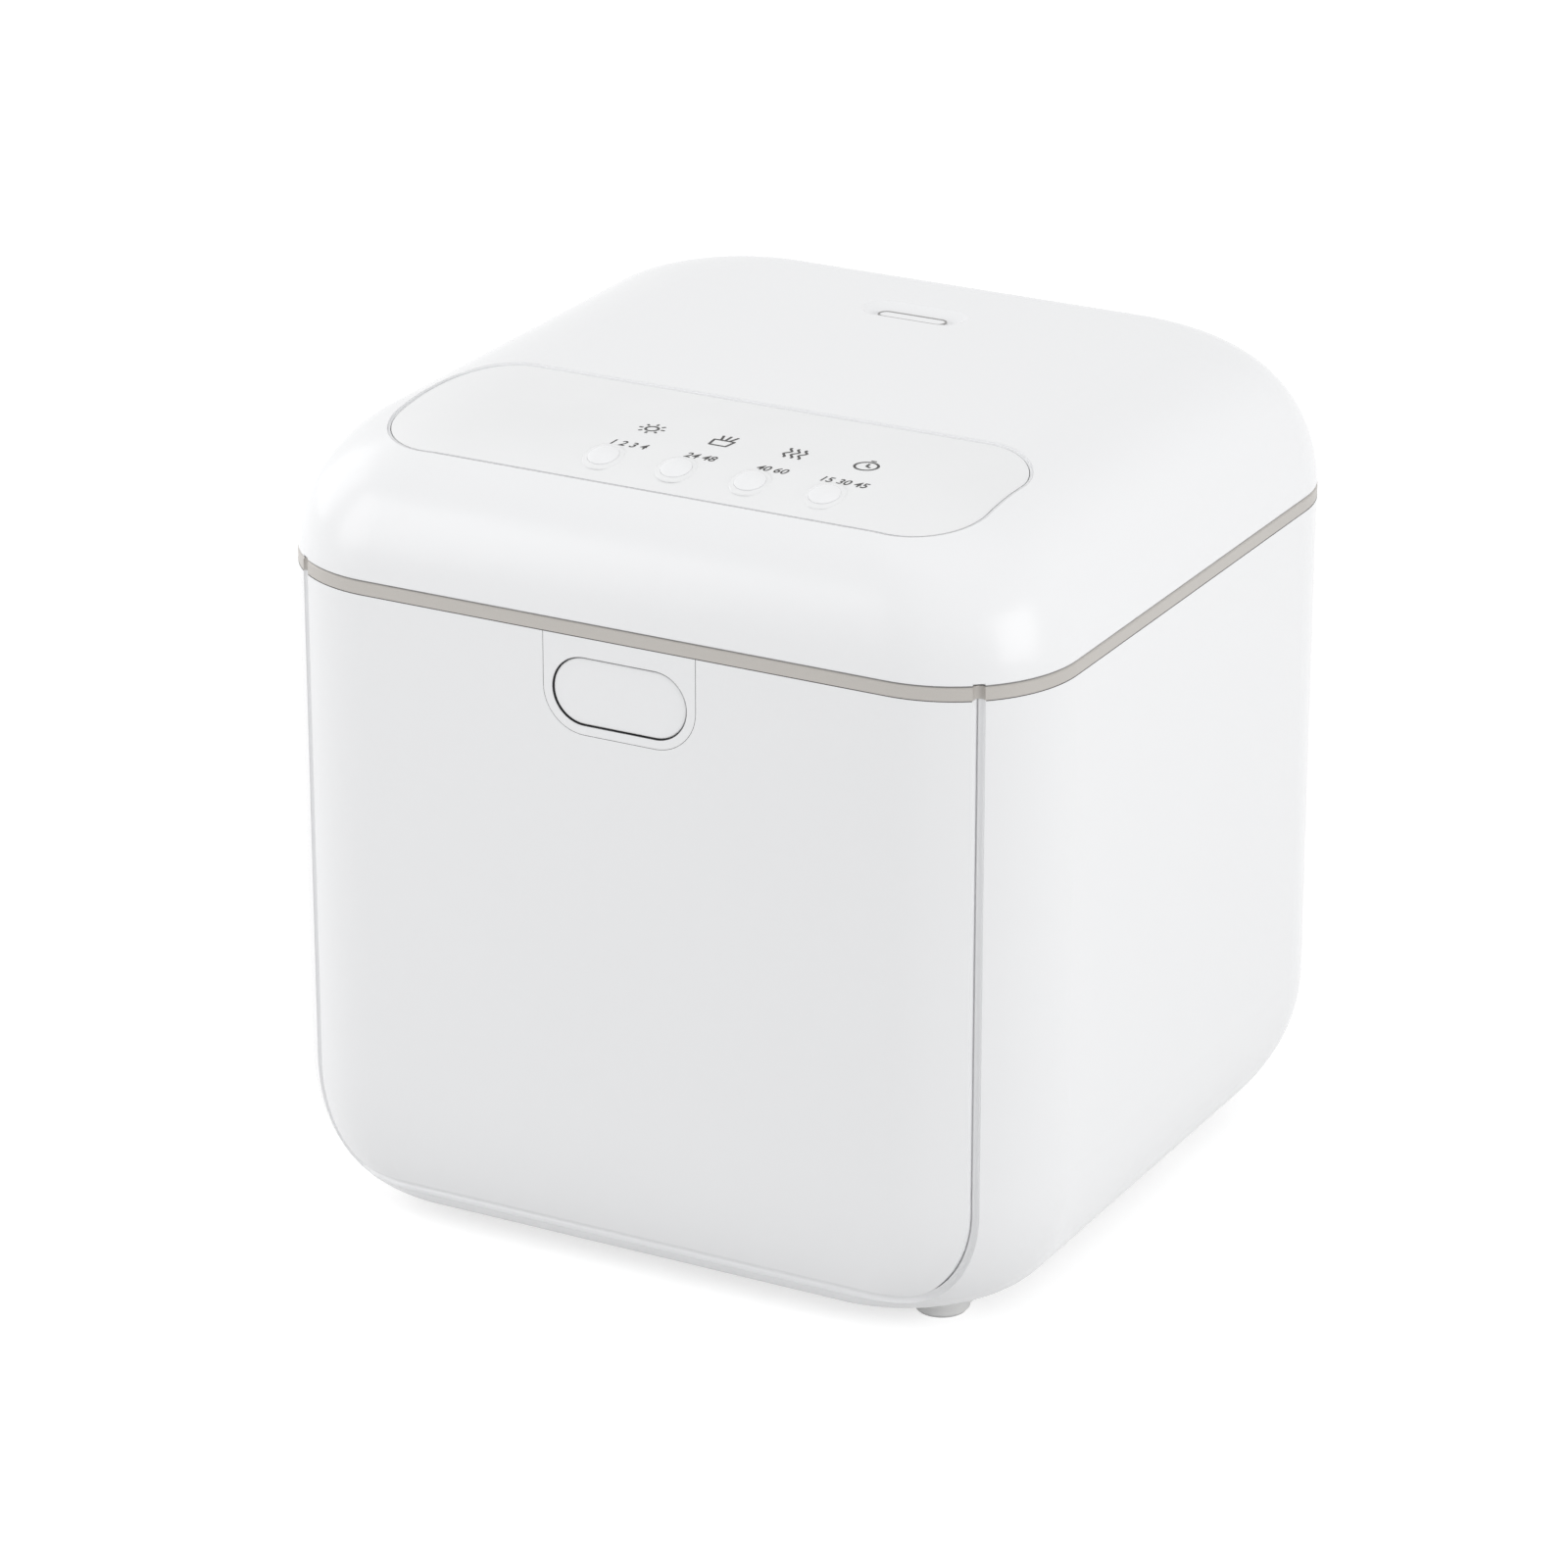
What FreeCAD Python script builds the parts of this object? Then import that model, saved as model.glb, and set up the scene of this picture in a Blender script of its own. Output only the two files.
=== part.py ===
"""Chopstick sterilizer box: a white counter-top box with a domed lid that hinges at the back,
a push button that frees the lid, a steel tank with a lift-out basket, UV lamps in the lid, and
a fan with a heater under the tank. Millimetres, +Z up, origin under the middle of the whole box."""
import FreeCAD, Part
import math
import os

V = FreeCAD.Vector
AXIS_X = V(1, 0, 0)
AXIS_Y = V(0, 1, 0)
AXIS_Z = V(0, 0, 1)

# ---- driving dimensions -------------------------------------------------------------------
WIDTH = 290.0
DEPTH = 274.0
PLAN_RADIUS = 46.0          # upright corners of body and lid
FOOT_HEIGHT = 7.5
SEAM_Z = 233.4              # top edge of the body, under the grey ring
RING_HEIGHT = 4.5
LID_GAP = 0.6               # shadow gap between ring and lid
LID_RISE = 54.6             # seam to the top of the lid
HINGE_REACH = 12.0          # how far the hinge barrel stands out at the back

WALL = 2.8                  # moulded body
LID_WALL = 3.2
LID_DOME = {"side": 55.4, "front": 51.7, "back": 31.8, "power": 2.29}
BODY_ROLL = {"side": 32.0, "front": 11.0, "back": 62.0, "power": 2.3}
BODY_ROLL_HEIGHT = 48.0
CORNER_SHARPENING = 0.25    # how much the plan corners tighten as the form closes

MID_Y = -HINGE_REACH / 2
FRONT_Y = MID_Y - DEPTH / 2
BACK_Y = MID_Y + DEPTH / 2
UNDER_Z = FOOT_HEIGHT
TOP_Z = SEAM_Z + LID_RISE
LID_Z = SEAM_Z + RING_HEIGHT + LID_GAP

# front plate
PLATE_HALF = 126.0
PLATE_BOTTOM = 16.5
PLATE_CORNER = (23.0, 34.0)  # half axes of the round lower corners
PLATE_THICK = 2.4
PLATE_GAP = 0.4             # between the plate's edge and its seat
GROOVE_OFFSET = 1.6         # from the plate's edge to the middle of the groove
GROOVE_RADIUS = 2.1

# release button and its bezel
BUTTON_HALF = 25.2
BUTTON_RADIUS = 11.8
BUTTON_Z = SEAM_Z - 19.3
BUTTON_SINK = 0.6
BUTTON_GAP = 0.35
BEZEL_HALF = 28.8
BEZEL_DROP = 34.6
BEZEL_RADIUS = 15.4
SLEEVE_END = FRONT_Y + 8.2  # inner end of the bezel's sleeve

# tank and basket
TANK_HALF = 124.0
TANK_FRONT = -112.0
TANK_BACK = 114.0
TANK_RADIUS = 28.0
TANK_FLOOR = 55.8
SHEET = 0.8
BASKET_GAP = 3.0
BASKET_FLOOR = 60.0
BASKET_TOP = 165.0
BASKET_WALL = 2.0
BASKET_POST = 29.0          # round corner posts, measured along the wall from the corner
BASKET_SILL = 66.0
BAND_HEIGHT = {"front": 12.0, "back": 12.0, "left": 18.0, "right": 18.0}
GRILLE_TURN = {"front": 0.0, "right": 90.0, "back": 180.0, "left": -90.0}
GRILLE_PITCH = 17.0
HANDLE_Z = 156.0
HANDLE_Y = 1.0
HANDLE_REACH = 50.0

# hinge
HINGE_RADIUS = 5.6
HINGE_Y = BACK_Y + HINGE_REACH - HINGE_RADIUS
HINGE_Z = SEAM_Z + 2.0
PIN_RADIUS = 2.5
PIN_PLAY = 0.05
HINGE_PLATE = 2.4

# control panel and keys, on the front slope of the lid
PANEL_HALF = 111.0
PANEL_FRONT = FRONT_Y + 22.3
PANEL_BACK = FRONT_Y + 97.3
PANEL_RADIUS = 25.0
PANEL_SINK = 0.6
PANEL_THICK = 1.0
KEY_COUNT = 4
KEY_FIRST_X = -24.0
KEY_PITCH = 27.7
KEY_Y = FRONT_Y + 32.8
KEY_RADIUS = 5.4
KEY_PLAY = 0.1              # between a key and its hole in the panel
VENT_Y = FRONT_Y + 209.8

# fan and heater under the tank
FAN_X = 24.0
FAN_Y = -8.0
FAN_HALF = 40.0
FAN_BOTTOM = 10.6
FAN_HEIGHT = 25.0

BASE_HALF = 78.0
BASE_FRONT = -80.0
BASE_BACK = 66.0
BASE_THICK = 1.6
FEET = {"left": -103.5, "right": 103.5, "front": FRONT_Y + 35.5, "back": 38.0}

LAMP_Y = MID_Y
INLET_X = -70.0
INLET_Z = 44.0
INLET_FACE = BACK_Y - 4.5    # the socket sits in a shallow well


# ---- small tools --------------------------------------------------------------------------
def box(x0, x1, y0, y1, z0, z1):
    return Part.makeBox(x1 - x0, y1 - y0, z1 - z0, V(x0, y0, z0))


def rod(radius, start, end):
    return Part.makeCylinder(radius, (end - start).Length, start, end - start)


def fuse_all(shapes):
    first, *rest = shapes
    return first.multiFuse(rest).removeSplitter() if rest else first


def cut_all(shape, tools):
    return shape.cut(Part.makeCompound(tools))


def round_rect(half_x, y_front, y_back, radius, z):
    """Closed wire: a rectangle with round corners, level at height z."""
    arcs = []
    for sign_x, y_edge, sign_y, start in (
        (1, y_front, -1, -90),
        (1, y_back, 1, 0),
        (-1, y_back, 1, 90),
        (-1, y_front, -1, 180),
    ):
        centre = V(sign_x * (half_x - radius), y_edge - sign_y * radius, z)
        turns = [math.radians(start + step) for step in (0, 45, 90)]
        arcs.append([centre + V(radius * math.cos(a), radius * math.sin(a), 0) for a in turns])
    edges = []
    for index, (first, middle, last) in enumerate(arcs):
        edges.append(Part.Arc(first, middle, last).toShape())
        edges.append(Part.makeLine(last, arcs[(index + 1) % 4][0]))
    return Part.Wire(edges)


def slab(half_x, y_front, y_back, radius, z0, z1):
    """Upright plate with a round-cornered rectangular outline."""
    face = Part.Face(round_rect(half_x, y_front, y_back, radius, z0))
    return face.extrude(V(0, 0, z1 - z0))


def pill(half_x, radius, y0, y1, z):
    """Lying stadium, long in X, pointing along Y."""
    left, right = -(half_x - radius), half_x - radius
    wire = Part.Wire([
        Part.makeLine(V(left, y0, z - radius), V(right, y0, z - radius)),
        Part.Arc(V(right, y0, z - radius), V(half_x, y0, z), V(right, y0, z + radius)).toShape(),
        Part.makeLine(V(right, y0, z + radius), V(left, y0, z + radius)),
        Part.Arc(V(left, y0, z + radius), V(-half_x, y0, z), V(left, y0, z - radius)).toShape(),
    ])
    return Part.Face(wire).extrude(V(0, y1 - y0, 0))


def closing_form(edge_z, pole_z, form, shrink, front_extra=0.0, steps=8):
    """Form that narrows from the full plan at edge_z to its flat end at pole_z."""
    wires = []
    for step in range(steps + 1):
        angle = math.pi / 2 * step / steps
        inward = 1 - math.cos(angle) ** (2 / form["power"]) if step < steps else 1.0
        along = math.sin(angle) ** (2 / form["power"])
        side_inset = form["side"] * inward
        wires.append(round_rect(
            WIDTH / 2 - shrink - side_inset,
            FRONT_Y + shrink + front_extra + form["front"] * inward,
            BACK_Y - shrink - form["back"] * inward,
            PLAN_RADIUS - shrink - CORNER_SHARPENING * side_inset,
            edge_z + (pole_z - edge_z) * along,
        ))
    return Part.makeLoft(wires, True, False)


def lid_form(shrink):
    """Solid dome of the lid, made smaller all over by shrink."""
    return closing_form(SEAM_Z, TOP_Z - shrink, LID_DOME, shrink)


def body_form(shrink, front_extra=0.0, top=SEAM_Z):
    """Solid form of the body, made smaller all over by shrink."""
    edge_z = UNDER_Z + BODY_ROLL_HEIGHT
    roll = closing_form(edge_z, UNDER_Z + shrink, BODY_ROLL, shrink, front_extra)
    upright = slab(WIDTH / 2 - shrink, FRONT_Y + shrink + front_extra, BACK_Y - shrink,
                   PLAN_RADIUS - shrink, edge_z, top)
    return roll.fuse(upright)


def plan_slab(shrink, z0, z1, front_extra=0.0):
    """Level plate with the plan of the whole box, made smaller by shrink."""
    return slab(WIDTH / 2 - shrink, FRONT_Y + shrink + front_extra, BACK_Y - shrink,
                PLAN_RADIUS - shrink, z0, z1)


def tank_slab(grow, z0, z1):
    """Level plate with the plan of the tank's inside, made larger by grow."""
    return slab(TANK_HALF + grow, TANK_FRONT - grow, TANK_BACK + grow, TANK_RADIUS + grow, z0, z1)


def plate_prism(grow):
    """Front plate's outline, U-shaped with elliptic lower corners, run back through the front."""
    half, bottom = PLATE_HALF + grow, PLATE_BOTTOM - grow
    across, up = PLATE_CORNER[0] + grow, PLATE_CORNER[1] + grow
    y, top, low = FRONT_Y - 5, SEAM_Z + 20, bottom + up
    corners = []
    for side in (-1, 1):
        middle = V(side * (half - across), y, low)
        ellipse = Part.Ellipse(middle - V(0, 0, up), middle + V(side * across, 0, 0), middle)
        corners.append(Part.Arc(ellipse, 0, math.pi / 2).toShape())
    wire = Part.Wire(Part.__sortEdges__(corners + [
        Part.makeLine(V(-half, y, top), V(-half, y, low)),
        Part.makeLine(V(across - half, y, bottom), V(half - across, y, bottom)),
        Part.makeLine(V(half, y, low), V(half, y, top)),
        Part.makeLine(V(half, y, top), V(-half, y, top)),
    ]))
    return Part.Face(wire).extrude(V(0, 40, 0))


def groove_places():
    """Where the groove's two upright runs meet the seam."""
    x = PLATE_HALF + GROOVE_OFFSET
    across = x - (WIDTH / 2 - PLAN_RADIUS)
    y = FRONT_Y + PLAN_RADIUS - math.sqrt(PLAN_RADIUS ** 2 - across ** 2)
    return [(-x, y), (x, y)]


def seam_notches(z0, z1):
    return [rod(GROOVE_RADIUS, V(x, y, z0), V(x, y, z1)) for x, y in groove_places()]


def bezel_prism(grow, y0, y1):
    """Tab under the seam: straight sides, round lower corners."""
    half, low = BEZEL_HALF + grow, SEAM_Z - BEZEL_DROP - grow
    radius = BEZEL_RADIUS + grow
    tab = box(-half, half, y0, y1, low, SEAM_Z)
    edges = [e for e in tab.Edges
             if abs(e.BoundBox.ZMax - low) < 1e-6 and abs(abs(e.BoundBox.XMin) - half) < 1e-6
             and e.BoundBox.XLength < 1e-6]
    return tab.makeFillet(radius, edges)


def lid_height(inset_front):
    """Height of the lid's front slope above the seam, and its slope, at a distance from the front."""
    power = LID_DOME["power"]
    cosine = (1 - inset_front / LID_DOME["front"]) ** (power / 2)
    angle = math.acos(cosine)
    height = LID_RISE * math.sin(angle) ** (2 / power)
    slope = (LID_RISE / LID_DOME["front"]) * (math.cos(angle) / math.sin(angle)) ** (2 - 2 / power)
    return height, math.atan(slope)


# ---- body ---------------------------------------------------------------------------------
def front_surface(x, z):
    """Point on the front of the body at x across and z up."""
    inward = 0.0
    if z < UNDER_Z + BODY_ROLL_HEIGHT:
        along = 1 - (z - UNDER_Z) / BODY_ROLL_HEIGHT
        inward = 1 - (1 - along ** BODY_ROLL["power"]) ** (1 / BODY_ROLL["power"])
    side_inset = BODY_ROLL["side"] * inward
    radius = PLAN_RADIUS - CORNER_SHARPENING * side_inset
    past_corner = max(0.0, abs(x) - (WIDTH / 2 - side_inset - radius))
    back = radius - math.sqrt(radius ** 2 - past_corner ** 2)
    return V(x, FRONT_Y + BODY_ROLL["front"] * inward + back, z)


def front_groove():
    """Round-bottomed groove that runs down beside the front plate, under it and up again."""
    half = PLATE_HALF + GROOVE_OFFSET
    across = PLATE_CORNER[0] + GROOVE_OFFSET
    up = PLATE_CORNER[1] + GROOVE_OFFSET
    low = PLATE_BOTTOM - GROOVE_OFFSET + up
    turns = [math.radians(step) for step in range(0, 91, 15)]
    roll_z = UNDER_Z + BODY_ROLL_HEIGHT
    outline = [(half, roll_z + 14), (half, roll_z)]
    outline += [(half - across * (1 - math.cos(a)), low - up * math.sin(a)) for a in turns]
    outline += [(half - across - 6, low - up), (half - across - 12, low - up)]
    edges = []
    ends = []
    for side in (-1, 1):
        curve = Part.BSplineCurve()
        curve.interpolate([front_surface(side * x, z) for x, z in outline],
                          InitialTangent=V(0, 0, -1), FinalTangent=V(-side, 0, 0))
        edges += [curve.toShape(), Part.makeLine(V(*groove_places()[side > 0], SEAM_Z), curve.StartPoint)]
        ends.append(curve.EndPoint)
    path = Part.Wire(Part.__sortEdges__(edges + [Part.makeLine(*ends)]))
    profile = Part.Wire(Part.makeCircle(GROOVE_RADIUS, V(*groove_places()[0], SEAM_Z), AXIS_Z))
    return path.makePipeShell([profile], True, False)


def body_shell():
    """Moulded wrap with the seat for the front plate and the openings for latch, base and inlet."""
    form = body_form(0)
    shell = form.cut(body_form(WALL, PLATE_THICK, SEAM_Z + 1))
    seat = form.cut(body_form(PLATE_THICK + 0.2)).common(plate_prism(PLATE_GAP))
    tools = [
        seat,
        front_groove(),
        box(-31, 31, FRONT_Y - 1, FRONT_Y + 8, SEAM_Z - BEZEL_DROP + 1, SEAM_Z + 1),
        slab(BASE_HALF - 10, BASE_FRONT + 10, BASE_BACK - 10, 8, UNDER_Z - 1, UNDER_Z + 5),
        slab(BASE_HALF, BASE_FRONT, BASE_BACK, 14, UNDER_Z - 1, UNDER_Z + BASE_THICK + 0.2),
        box(INLET_X - 14.3, INLET_X + 14.3, 100, BACK_Y + 1, INLET_Z - 8.3, INLET_Z + 8.3),
    ]
    tools += [rod(4.1, V(x, y, UNDER_Z - 1), V(x, y, UNDER_Z + 5)) for x, y in foot_places().values()]
    shell = cut_all(shell, tools)
    bosses = [rod(4, V(x, y, UNDER_Z + BASE_THICK + 0.2), V(x, y, UNDER_Z + 9)) for x, y in screw_places()]
    holes = [rod(1.6, V(x, y, UNDER_Z), V(x, y, UNDER_Z + 20)) for x, y in screw_places()]
    return cut_all(fuse_all([shell] + bosses), holes)


def front_panel():
    """Thin plate that follows the front and wraps on to both corners."""
    plate = body_form(0).cut(body_form(PLATE_THICK)).common(plate_prism(0))
    return plate.cut(bezel_prism(0.15, FRONT_Y - 1, FRONT_Y + 12))


def button_bezel():
    """Tab flush with the front plate, with a sleeve that guides the button."""
    tab = bezel_prism(0, FRONT_Y, FRONT_Y + PLATE_THICK)
    sleeve = pill(BUTTON_HALF + BUTTON_GAP + 1.6, BUTTON_RADIUS + BUTTON_GAP + 1.6,
                  FRONT_Y, SLEEVE_END, BUTTON_Z)
    way = pill(BUTTON_HALF + BUTTON_GAP, BUTTON_RADIUS + BUTTON_GAP, FRONT_Y - 1, FRONT_Y + 10, BUTTON_Z)
    return tab.fuse(sleeve).removeSplitter().cut(way)


def release_button():
    """Hollow pill-shaped cap with a retaining flange behind the sleeve."""
    face_y = FRONT_Y + BUTTON_SINK
    inner_y = SLEEVE_END + 0.2
    cap = pill(BUTTON_HALF, BUTTON_RADIUS, face_y, inner_y, BUTTON_Z)
    front = [e for e in cap.Edges if e.BoundBox.YMax < face_y + 0.01]
    cap = cap.makeFillet(0.6, front)
    flange = pill(BUTTON_HALF + 1, BUTTON_RADIUS + 1, inner_y, inner_y + 1.5, BUTTON_Z)
    hollow = pill(BUTTON_HALF - 2, BUTTON_RADIUS - 2, face_y + 2.2, inner_y, BUTTON_Z)
    return cap.fuse(flange).removeSplitter().cut(hollow)


def latch_slide():
    """Flat shutter under the top frame: the button pushes its front tabs, its back bar holds the lid."""
    low, high = SEAM_Z - 5.8, SEAM_Z - 3.5
    plate = box(-20, 20, FRONT_Y + 8.5, FRONT_Y + 22.1, low, high)
    plate = plate.cut(box(-11, 11, FRONT_Y + 10.5, FRONT_Y + 19.1, low - 1, high + 1))
    tabs = []
    for side in (-1, 1):
        inner, outer = sorted((side * 12, side * 18))
        tabs.append(box(inner, outer, FRONT_Y + 10, FRONT_Y + 12, BUTTON_Z + 2, low))
        tabs.append(box(inner, outer, FRONT_Y + 20.6, FRONT_Y + 22.1, low - 5, low))
    return fuse_all([plate] + tabs)


def coil(radius, wire, turns, start, length):
    """Helical compression spring with its axis along +Y from start."""
    helix = Part.makeHelix(length / turns, length, radius)
    profile = Part.Wire(Part.makePolygon([
        V(radius + wire / 2, 0, -wire / 2), V(radius + wire / 2, 0, wire / 2),
        V(radius - wire / 2, 0, wire / 2), V(radius - wire / 2, 0, -wire / 2),
        V(radius + wire / 2, 0, -wire / 2)]))
    spring = Part.Wire(helix).makePipeShell([profile], True, True)
    spring.rotate(V(0, 0, 0), AXIS_X, -90)
    spring.translate(start)
    return spring


def latch_springs():
    """Two small springs that push the shutter, and with it the button, back out."""
    length = 4.9
    return Part.makeCompound([
        coil(1.8, 0.5, 3, V(side * 15, FRONT_Y + 22.4, SEAM_Z - 8.4), length) for side in (-1, 1)])


def latch_slot(z0, z1):
    """Way for the lid's catch."""
    return box(-10.8, 10.8, FRONT_Y + 13, FRONT_Y + 19.6, z0, z1)


def trim_ring():
    """Grey ring on the seam with a fine bevel, notched where the groove of the front plate meets it."""
    ring = plan_slab(0, SEAM_Z, SEAM_Z + RING_HEIGHT)
    top_edges = [e for e in ring.Edges if e.BoundBox.ZMin > SEAM_Z + RING_HEIGHT - 0.01]
    ring = ring.makeChamfer(0.5, top_edges).cut(tank_slab(10, SEAM_Z - 1, SEAM_Z + 9))
    return cut_all(ring, seam_notches(SEAM_Z - 1, SEAM_Z + 9) + [latch_slot(SEAM_Z - 1, SEAM_Z + 9)])


def top_frame():
    """Deck inside the body's rim: carries the tank and guides the latch."""
    top, under = SEAM_Z - 0.2, SEAM_Z - 3.2
    deck = plan_slab(WALL + 0.3, under - 8, top, PLATE_THICK)
    deck = deck.cut(plan_slab(WALL + 2.3, under - 9, under, PLATE_THICK))
    deck = cut_all(deck, [
        tank_slab(SHEET + 0.4, under - 10, top + 1),
        box(-33, 33, FRONT_Y, FRONT_Y + 8.3, under - 10, under),
        latch_slot(under - 1, top + 1),
    ])
    guides = [box(-22, 22, FRONT_Y + 27.6, FRONT_Y + 29.4, under - 7, under)]
    for side in (-1, 1):
        inner, outer = sorted((side * 20.3, side * 23))
        guides.append(box(inner, outer, FRONT_Y + 8.4, FRONT_Y + 29.4, under - 3.8, under))
        inner, outer = sorted((side * 19.2, side * 23))
        guides.append(box(inner, outer, FRONT_Y + 8.4, FRONT_Y + 29.4, under - 3.8, under - 2.9))
    return fuse_all([deck] + guides)


def inner_tank():
    """Deep-drawn steel tank with a rolled floor edge, a rim flange and a round air hole."""
    def drawn(grow, floor, radius):
        block = tank_slab(grow, floor, SEAM_Z + 1)
        bottom = [e for e in block.Edges if e.BoundBox.ZMax < floor + 0.01]
        return block.makeFillet(radius, bottom)
    tank = drawn(SHEET, TANK_FLOOR - SHEET, 12 + SHEET).cut(drawn(0, TANK_FLOOR, 12))
    tank = tank.cut(box(-200, 200, -200, 200, SEAM_Z - 0.2, SEAM_Z + 5))
    flange = tank_slab(SHEET + 8, SEAM_Z - 0.2, SEAM_Z - 0.2 + SHEET)
    flange = flange.cut(tank_slab(0, SEAM_Z - 1, SEAM_Z + 2))
    hole = rod(34, V(FAN_X, FAN_Y, TANK_FLOOR - 2), V(FAN_X, FAN_Y, TANK_FLOOR + 1))
    return tank.fuse(flange).removeSplitter().cut(hole)


def floor_grille():
    """Pressed steel cover over the air hole, with rings of curved slots."""
    plate = rod(40, V(FAN_X, FAN_Y, TANK_FLOOR), V(FAN_X, FAN_Y, TANK_FLOOR + 2.4))
    plate = plate.cut(rod(36, V(FAN_X, FAN_Y, TANK_FLOOR - 1), V(FAN_X, FAN_Y, TANK_FLOOR + 1.4)))
    slots = []
    for radius, count in ((13, 4), (21, 6), (29, 8)):
        outer = rod(radius + 2, V(0, 0, 0), V(0, 0, 4))
        arc = outer.cut(rod(radius - 2, V(0, 0, 0), V(0, 0, 4)))
        for index in range(count):
            bar = box(0, 40, -2, 2, 0, 4)
            bar.rotate(V(0, 0, 0), AXIS_Z, 360 / count * index)
            arc = arc.cut(bar)
        arc.translate(V(FAN_X, FAN_Y, TANK_FLOOR))
        slots.append(arc)
    return cut_all(plate, slots)


# ---- basket -------------------------------------------------------------------------------
def basket_block(shrink, z0, z1):
    return slab(TANK_HALF - BASKET_GAP - shrink, TANK_FRONT + BASKET_GAP + shrink,
                TANK_BACK - BASKET_GAP - shrink, TANK_RADIUS - BASKET_GAP - shrink, z0, z1)


def basket_field(side):
    """One open field of the basket frame: reach of the wall from the middle, half width, upper edge."""
    half_x = TANK_HALF - BASKET_GAP
    half_y = (TANK_BACK - TANK_FRONT) / 2 - BASKET_GAP
    high = BASKET_TOP - BAND_HEIGHT[side]
    if side in ("front", "back"):
        return half_y, half_x - BASKET_POST, high
    return half_x, half_y - BASKET_POST, high


def set_in_wall(shape, side):
    """Turns a shape made for the front wall, centred on the basket, to face another side."""
    shape.rotate(V(0, 0, 0), AXIS_Z, GRILLE_TURN[side])
    shape.translate(V(0, (TANK_FRONT + TANK_BACK) / 2, 0))
    return shape


def basket():
    """Frame of the basket: sill, round corner posts, and a deep rim that carries the handle."""
    under = BASKET_FLOOR + BASKET_WALL
    tub = basket_block(0, under, BASKET_TOP).cut(basket_block(BASKET_WALL, under - 1, BASKET_TOP + 1))
    fields = []
    for side in GRILLE_TURN:
        reach, half, high = basket_field(side)
        fields.append(set_in_wall(box(-half, half, -reach - 5, -reach + 5, BASKET_SILL, high), side))
    tub = cut_all(tub, fields)
    rim = basket_block(-1.4, BASKET_TOP - 3, BASKET_TOP).cut(basket_block(1, BASKET_TOP - 4, BASKET_TOP + 1))
    pivots = [rod(6.5, V(side * 119, HANDLE_Y, HANDLE_Z), V(side * 122.2, HANDLE_Y, HANDLE_Z))
              for side in (-1, 1)]
    bore = rod(3.08, V(-130, HANDLE_Y, HANDLE_Z), V(130, HANDLE_Y, HANDLE_Z))
    return fuse_all([tub, rim] + pivots).cut(bore)


def basket_floor():
    """Slotted floor of the basket, on four round feet."""
    plate = basket_block(0, BASKET_FLOOR, BASKET_FLOOR + BASKET_WALL)
    slots = []
    for row in range(9):
        y = -87 + 22 * row
        for x in (-70, 0, 70):
            slots.append(box(x - 28, x + 28, y - 4, y + 4, BASKET_FLOOR - 1, BASKET_FLOOR + 4))
    feet = [rod(6, V(x, y, TANK_FLOOR + 0.2), V(x, y, BASKET_FLOOR)) for x in (-105, 105) for y in (-76, 78)]
    return fuse_all([cut_all(plate, slots)] + feet)


def basket_grille(side):
    """Slotted panel that snaps from inside into one open field of the basket frame."""
    reach, half, high = basket_field(side)
    outer, inner = -reach, -reach + BASKET_WALL
    plate = box(-half + 0.1, half - 0.1, outer, inner, BASKET_SILL + 0.1, high - 0.1)
    flange = box(-half - 3, half + 3, inner, inner + 1, BASKET_SILL - 3, high + 3)
    count = int(2 * (half - 4) / GRILLE_PITCH) + 1
    slots = []
    for index in range(count):
        x = GRILLE_PITCH * (index - (count - 1) / 2)
        slots.append(box(x - 4, x + 4, outer - 1, inner + 2, BASKET_SILL + 10, high - 12))
    return set_in_wall(cut_all(plate.fuse(flange), slots), side)


def basket_divider():
    """Loose wall that keeps chopsticks apart from spoons."""
    wall = box(-117.8, 117.8, -36, -34, BASKET_FLOOR + 2.1, BASKET_FLOOR + 62)
    windows = [box(x - 7, x + 7, -40, -30, BASKET_FLOOR + 14, BASKET_FLOOR + 50) for x in range(-96, 97, 24)]
    return cut_all(wall, windows)


def basket_handle():
    """Swing bail, folded down towards the back: two arms, a cross bar and two stub pins."""
    low, high = HANDLE_Z - 4.5, HANDLE_Z + 4.5
    far = HANDLE_Y + HANDLE_REACH
    outer = slab(118.6, HANDLE_Y - 30, far + 1.5, 14, low, high)
    inner = slab(115.6, HANDLE_Y - 34, far - 1.5, 11, low - 1, high + 1)
    bail = outer.cut(inner).cut(box(-130, 130, HANDLE_Y - 60, HANDLE_Y, low - 1, high + 1))
    parts = [bail]
    for side in (-1, 1):
        parts.append(rod(4.5, V(side * 115.6, HANDLE_Y, HANDLE_Z), V(side * 118.6, HANDLE_Y, HANDLE_Z)))
        parts.append(rod(3.0, V(side * 117, HANDLE_Y, HANDLE_Z), V(side * 122, HANDLE_Y, HANDLE_Z)))
    grip = rod(5.5, V(-35, far, HANDLE_Z), V(35, far, HANDLE_Z))
    parts.append(grip.common(box(-40, 40, far - 4.5, far + 4.5, low - 2, high + 2)))
    return fuse_all(parts)


# ---- base, fan and heater -----------------------------------------------------------------
def foot_places():
    return {"foot_" + fore + "_" + side: (FEET[side], FEET[fore])
            for fore in ("front", "back") for side in ("left", "right")}


def screw_places():
    return [(side * (BASE_HALF - 5), y) for side in (-1, 1) for y in (BASE_FRONT + 5, BASE_BACK - 5)]


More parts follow.
